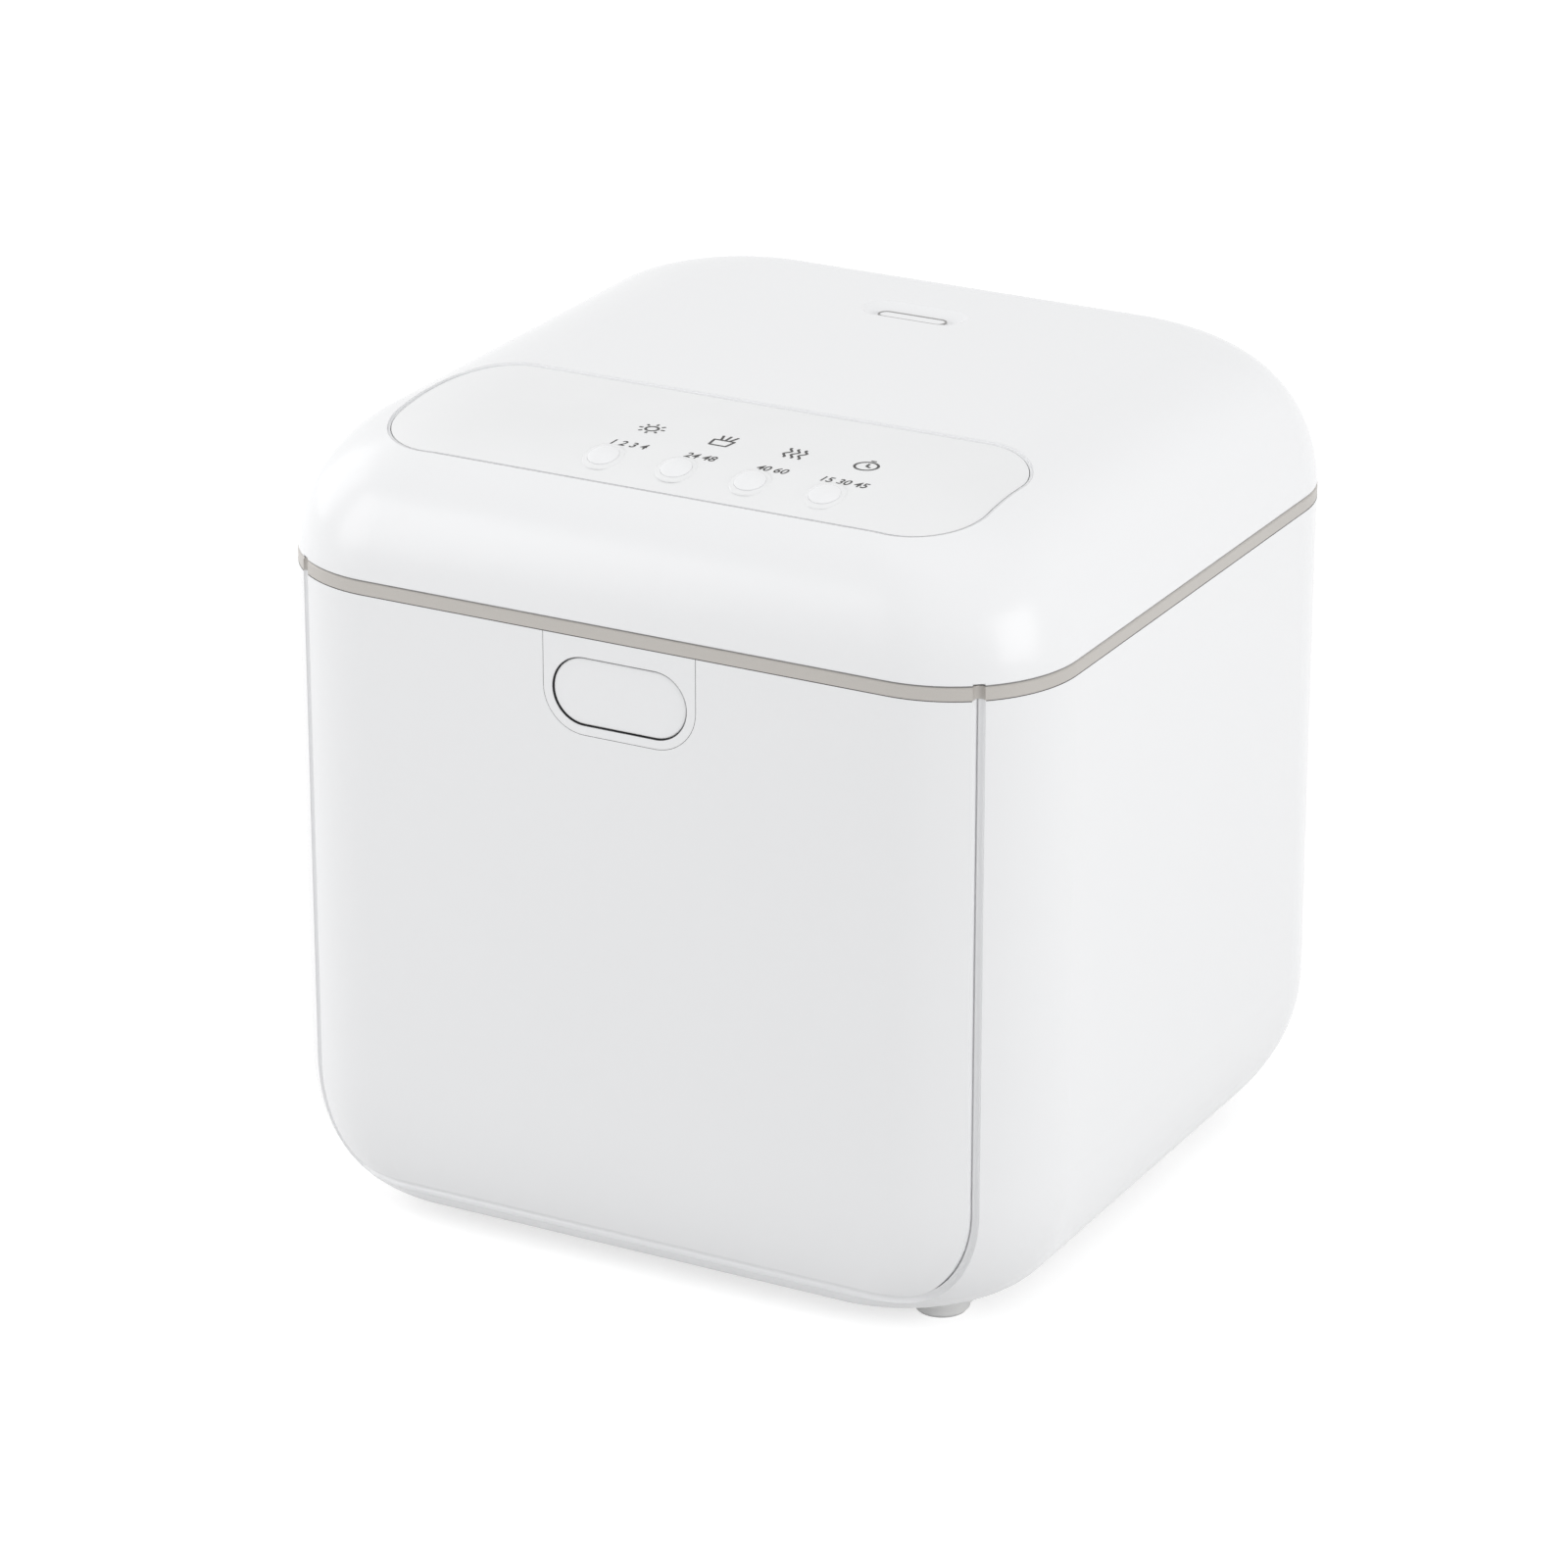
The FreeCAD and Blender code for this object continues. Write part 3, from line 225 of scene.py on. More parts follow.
def pill_band(name, half, radius, width, thick):
    """Band of pill outline, long in X: a round face with its halves moved apart."""
    bpy.ops.object.select_all(action="DESELECT")
    bpy.ops.mesh.primitive_circle_add(vertices=PILL_POINTS, radius=radius, fill_type="NGON",
                                      rotation=(0.0, 0.0, math.pi / PILL_POINTS))
    piece = bpy.context.object
    piece.name = name
    bpy.ops.object.transform_apply(location=True, rotation=True, scale=True)
    bpy.ops.object.mode_set(mode="EDIT")
    for side in (-1, 1):
        select_points(piece, lambda place: place.x * side > 0)
        bpy.ops.transform.translate(value=(side * (half - radius), 0.0, 0.0))
    open_outline(piece, width, thick)
    return piece


def fit(piece, material, body, crease=35.0):
    """Applies modifiers and place, smooths the piece, and fixes it to its body."""
    bpy.ops.object.select_all(action="DESELECT")
    piece.select_set(True)
    bpy.context.view_layer.objects.active = piece
    for modifier in list(piece.modifiers):
        bpy.ops.object.modifier_apply(modifier=modifier.name)
    bpy.ops.object.transform_apply(location=True, rotation=True, scale=True)
    bpy.ops.object.shade_smooth_by_angle(angle=math.radians(crease))
    piece.data.materials.clear()
    piece.data.materials.append(material)
    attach(piece, body)


def rubber(name, colour, roughness=0.6):
    """Soft elastomer: matt, a fine talc bloom and a slightly uneven skin."""
    finish = Finish(name, specular_ior_level=0.35)
    bloom = finish.noise(scale=160.0, detail=3.0)
    finish.feed("Base Color", finish.blend(bloom, tint(colour, 0.85), tint(colour, 1.2)))
    finish.feed("Roughness", roughness - 0.04 + bloom * 0.08)
    finish.relief(finish.noise(scale=1500.0), depth=0.00002, strength=0.4)
    return finish.material


# Painted shade: a black lining with a rubber finish in the gap round the button.
painted_shade_black = rubber("painted_shade_black", (0.018, 0.018, 0.02))
button_low, button_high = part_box("release_button")
sleeve = BUTTON_GAP - BUTTON_SHADE_PRESS
button_shade_half = button_high.x - BUTTON_FLANGE + sleeve
button_shade_radius = (button_high.z - button_low.z) / 2 - BUTTON_FLANGE + sleeve
button_painted_shade = pill_band("button_painted_shade", button_shade_half, button_shade_radius, BUTTON_SHADE_WALL, BUTTON_SHADE_DEPTH)
button_painted_shade.rotation_euler = (math.pi / 2, 0.0, 0.0)
bezel_low, bezel_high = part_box("button_bezel")
button_painted_shade.location = (0.0, bezel_low.y + BUTTON_SHADE_BACK, (button_low.z + button_high.z) / 2)
fit(button_painted_shade, painted_shade_black, "base")

# ---------------------------------------------------------------------------------------------
# Bezel joint, painted shade
# A near-black strip with a rubber finish in the narrow joint between the bezel and the front
# plate: painted shade for the shaded joint. It is open at the top, where the seam ring covers the
# joint.

BEZEL_JOINT = 0.00015
BEZEL_RADIUS = 0.0154
SHADE_FACE = 0.00003
SHADE_REACH = 0.002
OVER_SEAM = 0.004
seam_up = bezel_high.z
bezel_width = bezel_high.x - bezel_low.x + 2 * BEZEL_JOINT
bezel_drop = seam_up + OVER_SEAM - bezel_low.z + BEZEL_JOINT
bpy.ops.object.select_all(action="DESELECT")
bpy.ops.mesh.primitive_plane_add(size=1.0)
bezel_painted_shade = bpy.context.object
bezel_painted_shade.name = "bezel_painted_shade"
bezel_painted_shade.scale = (bezel_width, bezel_drop, 1.0)
bpy.ops.object.transform_apply(location=True, rotation=True, scale=True)
bpy.ops.object.mode_set(mode="EDIT")
select_points(bezel_painted_shade, lambda place: place.y < 0)
bpy.ops.mesh.bevel(offset=BEZEL_RADIUS + BEZEL_JOINT, segments=16, affect="VERTICES")
open_outline(bezel_painted_shade, BEZEL_JOINT, SHADE_REACH)
bezel_painted_shade.rotation_euler = (math.pi / 2, 0.0, 0.0)
bezel_painted_shade.location = (0.0, bezel_low.y + SHADE_FACE + SHADE_REACH,
                         seam_up + OVER_SEAM - bezel_drop / 2)
# Near-black finish: painted shade in the joint.
fit(bezel_painted_shade, rubber("bezel_shade_grey", (0.05, 0.049, 0.048)), "base")
bpy.ops.object.mode_set(mode="EDIT")
bpy.ops.mesh.select_all(action="SELECT")
bpy.ops.mesh.bisect(plane_co=(0.0, 0.0, seam_up - SHADE_FACE), plane_no=(0.0, 0.0, 1.0),
                    use_fill=True, clear_outer=True)
bpy.ops.object.mode_set(mode="OBJECT")

# ---------------------------------------------------------------------------------------------
# Latch
# A glass-filled nylon slide behind the button, and two coil springs of round drawn steel wire
# between the slide and the top frame.

MERGE_REACH = 0.000004
SPRING_RADIUS = 0.0018
SPRING_WIRE = 0.0005
SPRING_TURNS = 4
SPRING_STEPS = 24


def satin_moulding(name, colour, roughness=0.5, grain=900.0, depth=0.00003):
    """A moulding from an eroded tool: fine even grain, a little uneven in colour and sheen."""
    finish = Finish(name, specular_ior_level=0.45)
    drift = finish.noise(scale=14.0, detail=3.0)
    finish.feed("Base Color", finish.blend(drift, tint(colour, 0.95), tint(colour, 1.04)))
    finish.feed("Roughness", roughness - 0.05 + finish.noise(scale=70.0) * 0.1)
    finish.relief(finish.noise(scale=grain, detail=3.0), depth=depth, strength=0.6)
    return finish.material


def as_mesh(piece):
    """Makes a line or text object a closed mesh with its place applied."""
    bpy.ops.object.select_all(action="DESELECT")
    piece.select_set(True)
    bpy.context.view_layer.objects.active = piece
    bpy.ops.object.convert(target="MESH")
    bpy.ops.object.mode_set(mode="EDIT")
    bpy.ops.mesh.select_all(action="SELECT")
    bpy.ops.mesh.remove_doubles(threshold=MERGE_REACH)
    bpy.ops.mesh.normals_make_consistent(inside=False)
    bpy.ops.object.mode_set(mode="OBJECT")
    bpy.ops.object.transform_apply(location=True, rotation=True, scale=True)


def drawn_metal(name, colour, roughness, along=(60.0, 1.0, 60.0)):
    """Bare metal with the fine lines of drawing or brushing along one axis."""
    finish = Finish(name, metallic=1.0)
    lines = finish.noise(scale=30.0, detail=4.0, stretch=along)
    finish.feed("Base Color", finish.blend(lines, tint(colour, 0.86), tint(colour, 1.08)))
    finish.feed("Roughness", roughness - 0.06 + lines * 0.14)
    finish.relief(lines, depth=0.00002, strength=0.3)
    return finish.material


dress(satin_moulding("nylon_grey", (0.34, 0.35, 0.36), roughness=0.55), "latch_slide")
spring_wire = drawn_metal("spring_wire", (0.58, 0.58, 0.6), roughness=0.34)
springs_low, springs_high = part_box("latch_springs")
spring_up = (springs_low.z + springs_high.z) / 2
spring_length = springs_high.y - springs_low.y - SPRING_WIRE
for side, name in ((-1, "latch_spring_left"), (1, "latch_spring_right")):
    wire = bpy.data.curves.new(name, "CURVE")
    wire.dimensions = "3D"
    wire.bevel_depth = SPRING_WIRE / 2
    wire.bevel_resolution = 3
    wire.use_fill_caps = True
    coil = wire.splines.new("POLY")
    coil.points.add(SPRING_TURNS * SPRING_STEPS)
    for step, knot in enumerate(coil.points):
        turn = 2 * math.pi * step / SPRING_STEPS
        share = step / (SPRING_TURNS * SPRING_STEPS)
        knot.co = (SPRING_RADIUS * math.cos(turn), spring_length * share,
                   SPRING_RADIUS * math.sin(turn), 1.0)
    spring = bpy.data.objects.new(name, wire)
    bpy.context.scene.collection.objects.link(spring)
    spring.location = (side * (springs_high.x - SPRING_RADIUS - SPRING_WIRE / 2),
                       springs_low.y + SPRING_WIRE / 2, spring_up)
    as_mesh(spring)
    fit(spring, spring_wire, "base", crease=60.0)
    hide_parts("latch_springs")
    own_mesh(spring)

# ---------------------------------------------------------------------------------------------
# Seam ring and top frame
# A warm grey painted ring closes the seam; under it a satin white frame carries the tank.

RING_GREY = (0.53, 0.505, 0.475)

ring = Finish("ring_paint", metallic=0.12, specular_ior_level=0.5)
flake = ring.noise(scale=2600.0, detail=1.0)
ring.feed("Base Color", ring.blend(flake, tint(RING_GREY, 0.96), tint(RING_GREY, 1.04)))
ring.feed("Roughness", 0.36 + ring.noise(scale=50.0) * 0.08)
ring.relief(flake, depth=0.00001, strength=0.2)
dress(ring.material, "trim_ring")
dress(satin_moulding("frame_white", (0.8, 0.8, 0.79), roughness=0.42), "top_frame")

# ---------------------------------------------------------------------------------------------
# Seam strips, painted shade
# Two thin strips with a rubber finish that follow the plan of the box: painted shade for the dark
# lines of the seam. A dark one lies under the ring, a grey one under the lid's rim, closing on the
# ring. Both are punched out where the groove notches the ring.

PLAN_RADIUS = 0.046
SHADE_STRIP_WIDTH = 0.0014
RING_LINE = 0.00028
RING_OVERHANG = 0.00004
RIM_INSET = 0.0005
RIM_REST = 0.00004
NOTCH_RADIUS = 0.0023
NOTCH_PLACE = (0.1276, -0.133)
PUNCH_LENGTH = 0.01
punches = []
body_low, body_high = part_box("body_shell")
ring_low, ring_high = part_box("trim_ring")
lid_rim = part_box("lid_shell")[0].z


def plan_strip(name, inset, low, high):
    """Strip along the plan of the box, inset from its outline, with a punch at each notch."""
    width = body_high.x - body_low.x - 2 * inset
    depth = body_high.y - ring_low.y - 2 * inset
    middle = ((body_high.x + body_low.x) / 2, (body_high.y + ring_low.y) / 2, low)
    bpy.ops.object.select_all(action="DESELECT")
    bpy.ops.mesh.primitive_plane_add(size=1.0, location=middle)
    piece = bpy.context.object
    piece.name = name
    piece.scale = (width, depth, 1.0)
    bpy.ops.object.transform_apply(location=True, rotation=True, scale=True)
    bpy.ops.object.mode_set(mode="EDIT")
    bpy.ops.mesh.select_all(action="SELECT")
    bpy.ops.mesh.bevel(offset=PLAN_RADIUS - inset, segments=28, affect="VERTICES")
    open_outline(piece, SHADE_STRIP_WIDTH, high - low)
    for side in (-1, 1):
        bpy.ops.mesh.primitive_cylinder_add(vertices=48, radius=NOTCH_RADIUS, depth=PUNCH_LENGTH,
                                            location=(side * NOTCH_PLACE[0], NOTCH_PLACE[1], low))
        punch = bpy.context.object
        cut = piece.modifiers.new("notch", "BOOLEAN")
        cut.operation = "DIFFERENCE"
        cut.object = punch
        punches.append(punch)
    return piece


# Painted shade: a dark strip under the ring and a grey one under the lid's rim.
fit(plan_strip("ring_painted_shade", -RING_OVERHANG, ring_low.z - RING_LINE, ring_low.z),
    rubber("ring_shade_grey", (0.075, 0.072, 0.07)), "base")
fit(plan_strip("rim_painted_shade", RIM_INSET, ring_high.z + RIM_REST, lid_rim),
    rubber("rim_shade_grey", (0.26, 0.255, 0.25)), "lid")
for punch in punches:
    bpy.data.objects.remove(punch)

# ---------------------------------------------------------------------------------------------
# Tank and floor grille
# The tank is deep-drawn from 0.8 mm stainless sheet and brushed across. The grille is a pressed
# steel cover over the air hole in its floor.

TANK_STEEL = (0.66, 0.66, 0.655)

dress(drawn_metal("tank_steel", TANK_STEEL, roughness=0.3, along=(1.0, 1.0, 90.0)), "inner_tank")
grille_steel = drawn_metal("grille_steel", TANK_STEEL, roughness=0.32, along=(1.0, 90.0, 90.0))
dress(grille_steel, "floor_grille")

# ---------------------------------------------------------------------------------------------
# Basket
# Basket, divider and swinging handle are moulded in food-safe polypropylene, a little waxy.
# The slotted grilles and the floor snap into the basket's open frame.


def waxy_moulding(name, colour, roughness=0.4):
    """Polypropylene: soft sheen, a little light carried under the skin, faint flow lines."""
    finish = Finish(name, subsurface_weight=0.08, subsurface_scale=0.004, specular_ior_level=0.4)
    flow = finish.noise(scale=25.0, detail=3.0, stretch=(1.0, 1.0, 0.25))
    finish.feed("Base Color", finish.blend(flow, tint(colour, 0.96), tint(colour, 1.02)))
    finish.feed("Roughness", roughness - 0.05 + flow * 0.1)
    finish.relief(finish.noise(scale=700.0), depth=0.00002, strength=0.4)
    return finish.material


BASKET_PIECES = ("basket", "basket_divider", "basket_floor", "basket_grille_front",
                 "basket_grille_back", "basket_grille_left", "basket_grille_right")
dress(waxy_moulding("basket_white", (0.83, 0.83, 0.82)), *BASKET_PIECES)
dress(waxy_moulding("handle_white", (0.8, 0.8, 0.79), roughness=0.36), "basket_handle")

# ---------------------------------------------------------------------------------------------
# Underside
# A moulded base cover with air slots closes the shell from below. Steel screws hold it, and
# four pale rubber feet carry the box.

FEET = ("foot_front_left", "foot_front_right", "foot_back_left", "foot_back_right")

dress(satin_moulding("cover_grey", (0.4, 0.41, 0.42), roughness=0.55), "base_cover")
dress(drawn_metal("screw_steel", (0.6, 0.6, 0.61), roughness=0.3), "base_screws")
dress(satin_moulding("foot_rubber", (0.76, 0.76, 0.755), roughness=0.58, grain=1400.0), *FEET)

# ---------------------------------------------------------------------------------------------
# Warm air
# An 80 mm axial fan on its motor, a finned aluminium heater block, and the moulded duct that
# leads the warm air into the tank.

fan_black = satin_moulding("fan_black", (0.035, 0.035, 0.038), roughness=0.48)
dress(fan_black, "fan_housing", "fan_impeller")
dress(drawn_metal("motor_copper", (0.5, 0.3, 0.2), roughness=0.4), "fan_motor")
dress(drawn_metal("fin_aluminium", (0.72, 0.73, 0.74), roughness=0.34), "heater_block")
dress(satin_moulding("duct_grey", (0.34, 0.35, 0.36)), "air_duct")

# ---------------------------------------------------------------------------------------------
# Power
# Two glass-fibre boards: one stands over the base cover with the power parts, the other is
# under the keys with their tact switches. A two-pole inlet with brass pins is let into the back.


def circuit_board(name, colour=(0.045, 0.2, 0.1)):
    """Solder mask over copper tracks, which show as slightly raised, lighter lines."""
    finish = Finish(name, specular_ior_level=0.5)
    tracks = finish.node("ShaderNodeTexBrick", {"offset": 0.35, "squash": 0.6}, {
        "Vector": finish.place(), "Color1": (0.0, 0.0, 0.0), "Color2": (0.2, 0.2, 0.2),
        "Mortar": (1.0, 1.0, 1.0), "Scale": 160.0, "Mortar Size": 0.06})
    finish.feed("Base Color", finish.blend(tracks, colour, tint(colour, 1.9)))
    finish.feed("Roughness", 0.3 + finish.noise(scale=120.0) * 0.1)
    finish.relief(tracks, depth=0.00004, strength=0.5)
    return finish.material


dress(circuit_board("board_green"), "power_board", "control_board")
part_black = satin_moulding("part_black", (0.05, 0.05, 0.055), roughness=0.4)
dress(part_black, "power_parts", "tact_switches", "lid_switch")
dress(satin_moulding("inlet_black", (0.03, 0.03, 0.032), roughness=0.42), "power_inlet")
dress(drawn_metal("pin_brass", (0.72, 0.55, 0.26), roughness=0.28), "inlet_contacts")

# ---------------------------------------------------------------------------------------------
# Hinge
# White moulded barrels on body and lid over a steel pin, with a grey damper barrel between
# them. Both hinge plates are screwed down.

hinge_white = gloss_moulding("hinge_white", tint(SHELL_WHITE, 0.99), roughness=0.3)
dress(hinge_white, "rear_hinge_mount", "lid_hinge_arm")
hinge_steel = drawn_metal("hinge_steel", (0.66, 0.66, 0.67), roughness=0.24, along=(1.0, 60.0, 60.0))
dress(hinge_steel, "hinge_pin")
dress(satin_moulding("damper_grey", (0.3, 0.31, 0.32), roughness=0.45), "hinge_damper")

# ---------------------------------------------------------------------------------------------
# Hinge screws
# Zinc-plated pan-head screws with a cross recess hold both hinge plates. One is turned and
# punched, and the rest are copies of it.

HEAD_RADIUS = 0.0026
HEAD_HEIGHT = 0.0013
HEAD_ROUNDING = 0.6
RECESS = (0.0031, 0.0007, 0.0012)
HINGE_PLATE = 0.0024
PLATE_SCREWS = {
    "base": ((-0.026, 0.2165), (-0.026, 0.2265), (0.026, 0.2165), (0.026, 0.2265)),
    "lid": ((-0.009, 0.2475), (0.009, 0.2475)),
}


def turned_head(radius, height):
    """Round head, its flat side on the level plane and its top edge rounded over."""
    bpy.ops.object.select_all(action="DESELECT")
    bpy.ops.mesh.primitive_cylinder_add(vertices=40, radius=radius, depth=height,
                                        location=(0.0, 0.0, height / 2))
    head = bpy.context.object
    bpy.ops.object.transform_apply(location=True, rotation=True, scale=True)
    bpy.ops.object.mode_set(mode="EDIT")
    select_points(head, lambda place: place.z > height / 2)
    bpy.ops.mesh.bevel(offset=height * HEAD_ROUNDING, segments=5, affect="EDGES")
    bpy.ops.object.mode_set(mode="OBJECT")
    bpy.ops.object.select_all(action="DESELECT")
    return head


def pan_head():
    """Screw head with its cross recess cut from above."""
    head = turned_head(HEAD_RADIUS, HEAD_HEIGHT)
    blades = []
    for turn in (math.pi / 4, -math.pi / 4):
        bpy.ops.mesh.primitive_cube_add(size=1.0, location=(0.0, 0.0, HEAD_HEIGHT),
                                        rotation=(0.0, 0.0, turn))
        blade = bpy.context.object
        blade.scale = RECESS
        cut = head.modifiers.new("recess", "BOOLEAN")
        cut.operation = "DIFFERENCE"
        cut.object = blade
        blades.append(blade)
    bpy.context.view_layer.objects.active = head
    for label in [cut.name for cut in head.modifiers]:
        bpy.ops.object.modifier_apply(modifier=label)
    for blade in blades:
        bpy.data.objects.remove(blade)
    return head


def drive(head, name, place, facing, body):
    """Copies the head, seats it at a place with its top facing outwards, and fixes it."""
    screw = bpy.data.objects.new(name, head.data.copy())
    bpy.context.scene.collection.objects.link(screw)
    screw.location = place
    screw.rotation_euler = Vector(facing).to_track_quat("Z", "Y").to_euler()
    fit(screw, plated_screw, body)


plated_screw = drawn_metal("plated_screw", (0.62, 0.62, 0.63), roughness=0.28, along=(40.0, 40.0, 1.0))
screw_head = pan_head()
plate_face = body_high.y + HINGE_PLATE
for body, places in PLATE_SCREWS.items():
    for number, (across, up) in enumerate(places, 1):
        seat = (across, plate_face, up)
        drive(screw_head, f"hinge_screw_{body}_{number}", seat, (0.0, 1.0, 0.0), body)

# ---------------------------------------------------------------------------------------------
# Pin caps
# Two domed caps of the same zinc-plated steel on the ends of the hinge pin, just clear of the
# barrels.

CAP_RADIUS = 0.0037
CAP_HEIGHT = 0.0016
CAP_CLEAR = 0.00005
pin_low, pin_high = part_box("hinge_pin")
pin_middle = (pin_low + pin_high) / 2
barrel_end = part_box("rear_hinge_mount")[1].x + CAP_CLEAR
pin_cap = turned_head(CAP_RADIUS, CAP_HEIGHT)
for side, name in ((-1, "pin_cap_left"), (1, "pin_cap_right")):
    seat = (side * barrel_end, pin_middle.y, pin_middle.z)
    drive(pin_cap, name, seat, (side, 0.0, 0.0), "lid")
bpy.data.objects.remove(pin_cap)

# ---------------------------------------------------------------------------------------------
# Lid
# A domed moulding like the body, with a satin overlay let into its front, four glossy keys
# through the overlay, and a small vent pill in a dish near its rear edge.

KEYS = ("touch_key_1", "touch_key_2", "touch_key_3", "touch_key_4")

dress(gloss_moulding("lid_white", SHELL_WHITE, roughness=0.26), "lid_shell")
overlay_white = satin_moulding("overlay_white", (0.875, 0.88, 0.885), roughness=0.38,
                               grain=1500.0, depth=0.00001)
dress(overlay_white, "control_panel")
dress(gloss_moulding("key_white", tint(SHELL_WHITE, 1.01)), "vent_insert", *KEYS)

# ---------------------------------------------------------------------------------------------
# Key collars
# The overlay is embossed round each key, so the dome of the key seems to rise out of it. The
# profile gives radius and height, from the edge at the key to the foot in the overlay.

COLLAR_PROFILE = ((0.00544, -0.0003), (0.00544, 0.0004), (0.00548, 0.00041), (0.0058, 0.00026),
                  (0.0062, 0.00013), (0.0066, 0.00005), (0.0071, 0.00001), (0.0073, -0.0003))
COLLAR_REACH = COLLAR_PROFILE[-1][0]
COLLAR_STEPS = 48
COLLAR_MERGE = 0.00001


def surface_spot(node, x, y):
    """Place and outward direction of a node's upper surface, found by a ray from far above."""
    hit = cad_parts[node].ray_cast(Vector((x, y, 1.0)), Vector((0.0, 0.0, -1.0)))
    return hit[1], hit[2]


def turned_collar():
    """Ring turned from its profile about the upright axis, with its walls facing outwards."""
    outline = bpy.data.meshes.new("collar")
    count = len(COLLAR_PROFILE)
    outline.from_pydata([(radius, 0.0, up) for radius, up in COLLAR_PROFILE],
                        [(step, (step + 1) % count) for step in range(count)], [])
    collar = bpy.data.objects.new("collar", outline)
    bpy.context.scene.collection.objects.link(collar)
    turned = collar.modifiers.new("turned", "SCREW")
    turned.axis = "Z"
    turned.angle = 2 * math.pi
    turned.steps = COLLAR_STEPS
    turned.render_steps = COLLAR_STEPS
    turned.use_merge_vertices = True
    turned.merge_threshold = COLLAR_MERGE
    bpy.ops.object.select_all(action="DESELECT")
    collar.select_set(True)
    bpy.context.view_layer.objects.active = collar
    bpy.ops.object.modifier_apply(modifier=turned.name)
    return collar


collar = turned_collar()
for key in KEYS:
    low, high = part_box(key)
    middle = (low + high) / 2
    left = surface_spot("control_panel", middle.x - COLLAR_REACH, middle.y)[0]
    right, facing = surface_spot("control_panel", middle.x + COLLAR_REACH, middle.y)
    copy = bpy.data.objects.new("collar_" + key, collar.data.copy())
    bpy.context.scene.collection.objects.link(copy)
    copy.location = (left + right) / 2
    copy.rotation_euler = facing.to_track_quat("Z", "Y").to_euler()
    fit(copy, overlay_white, "lid", crease=60.0)
bpy.data.objects.remove(collar)

# ---------------------------------------------------------------------------------------------
# Vent lip, painted shade
# A thin grey lip with a rubber finish round the rounded top edge of the vent pill: painted shade,
# shown as the dark line of the shaded groove round the vent.

LIP_OVERLAP = 0.00035
LIP_WIDTH = 0.00075
LIP_RISE = 0.00037
LIP_DROP = 0.00025
vent_low, vent_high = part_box("vent_insert")
vent_half = (vent_high.x - vent_low.x) / 2 + LIP_OVERLAP
vent_radius = (vent_high.y - vent_low.y) / 2 + LIP_OVERLAP
vent_painted_shade = pill_band("vent_painted_shade", vent_half, vent_radius, LIP_WIDTH, LIP_RISE)
vent_painted_shade.location = (0.0, (vent_low.y + vent_high.y) / 2, vent_high.z - LIP_DROP)
# Grey finish: painted shade round the vent pill.
fit(vent_painted_shade, rubber("vent_shade_grey", (0.33, 0.325, 0.32)), "lid")

# ---------------------------------------------------------------------------------------------
# Print on the overlay
# Screen-printed in dark warm grey: a plain mark over each key and a row of plain numbers
# between. The ink lies a few hundredths of a millimetre proud and follows the overlay.

STROKE = 0.0009
INK_RISE = 0.00006
INK_STEP = 0.4
INK_FLATTEN = 0.05
MARK_LINE = -0.0846
NUMBER_LINE = -0.1024
NUMBER_SIZE = 0.005
NUMBER_SLANT = 0.2
NUMBER_WEIGHT = 0.00003
MARK_PLACES = (-0.0198, 0.0076, 0.0345, 0.0611)
NUMBER_ROWS = ("1 2 3 4", "24 48", "40 60", "15 30 45")
MM = 0.001


def in_steps(points, closed):
    """Divides the long runs of a line, so that it can follow a curved surface."""
    ends = points[1:] + points[:1] if closed else points[1:]
    fine = []
    for (x, y), (end_x, end_y) in zip(points, ends):
        count = max(1, math.ceil(math.hypot(end_x - x, end_y - y) / INK_STEP))
        fine += [(x + (end_x - x) * step / count, y + (end_y - y) * step / count)
                 for step in range(count)]
    return fine if closed else fine + points[-1:]


def round_points(radius, count):
    turns = [2 * math.pi * step / count for step in range(count)]
    return [(radius * math.cos(turn), radius * math.sin(turn)) for turn in turns]


def circle_line(radius, count=32):
    return round_points(radius, count), True


def ray_lines(near, far, count):
    ends = zip(round_points(near, count), round_points(far, count))
    return [(list(ray), False) for ray in ends]


def wave_line(across, reach, swing, length, count=24):
    """A line that waves about the upright, up to reach on either side of its middle."""
    heights = [reach * (2 * step / count - 1) for step in range(count + 1)]
    return [(across + swing * math.sin(2 * math.pi * up / length), up) for up in heights], False


# Strokes in millimetres from the middle of a mark: the corners of each and whether it closes.
MARKS = {
    "mark_lamp": [circle_line(radius=2.2)] + ray_lines(near=3.4, far=4.8, count=8),
    "mark_sticks": [([(-3.8, 0.6), (-3.1, -4.6), (3.1, -4.6), (3.8, 0.6)], True),
                    ([(-1.4, 0.6), (-2.6, 5.0)], False), ([(0.2, 0.6), (0.2, 5.2)], False),
                    ([(1.8, 0.6), (3.0, 5.0)], False)],
    "mark_warm_air": [wave_line(across, reach=4.6, swing=0.8, length=5.2)
                      for across in (-2.8, 0.0, 2.8)],
    "mark_clock": [circle_line(radius=4.0), ([(0.0, 2.4), (0.0, 0.0), (1.8, -1.0)], False),
                   ([(-1.0, 5.4), (1.0, 5.4)], False)],
}


def lay_on_overlay(piece):
    """Turns a level mark into ink that follows the overlay's surface."""
    for point in piece.data.vertices:
        spot = surface_spot("control_panel", point.co.x, point.co.y)[0]
        point.co.z = spot.z + INK_RISE + point.co.z * INK_FLATTEN


ink = Finish("warm_grey_ink", specular_ior_level=0.4)
screen = ink.noise(scale=5200.0, detail=1.0)
ink.feed("Base Color", ink.blend(screen, (0.036, 0.0345, 0.034), (0.052, 0.05, 0.0485)))
ink.feed("Roughness", 0.42 + screen * 0.1)
ink.relief(screen, depth=0.000005, strength=0.3)

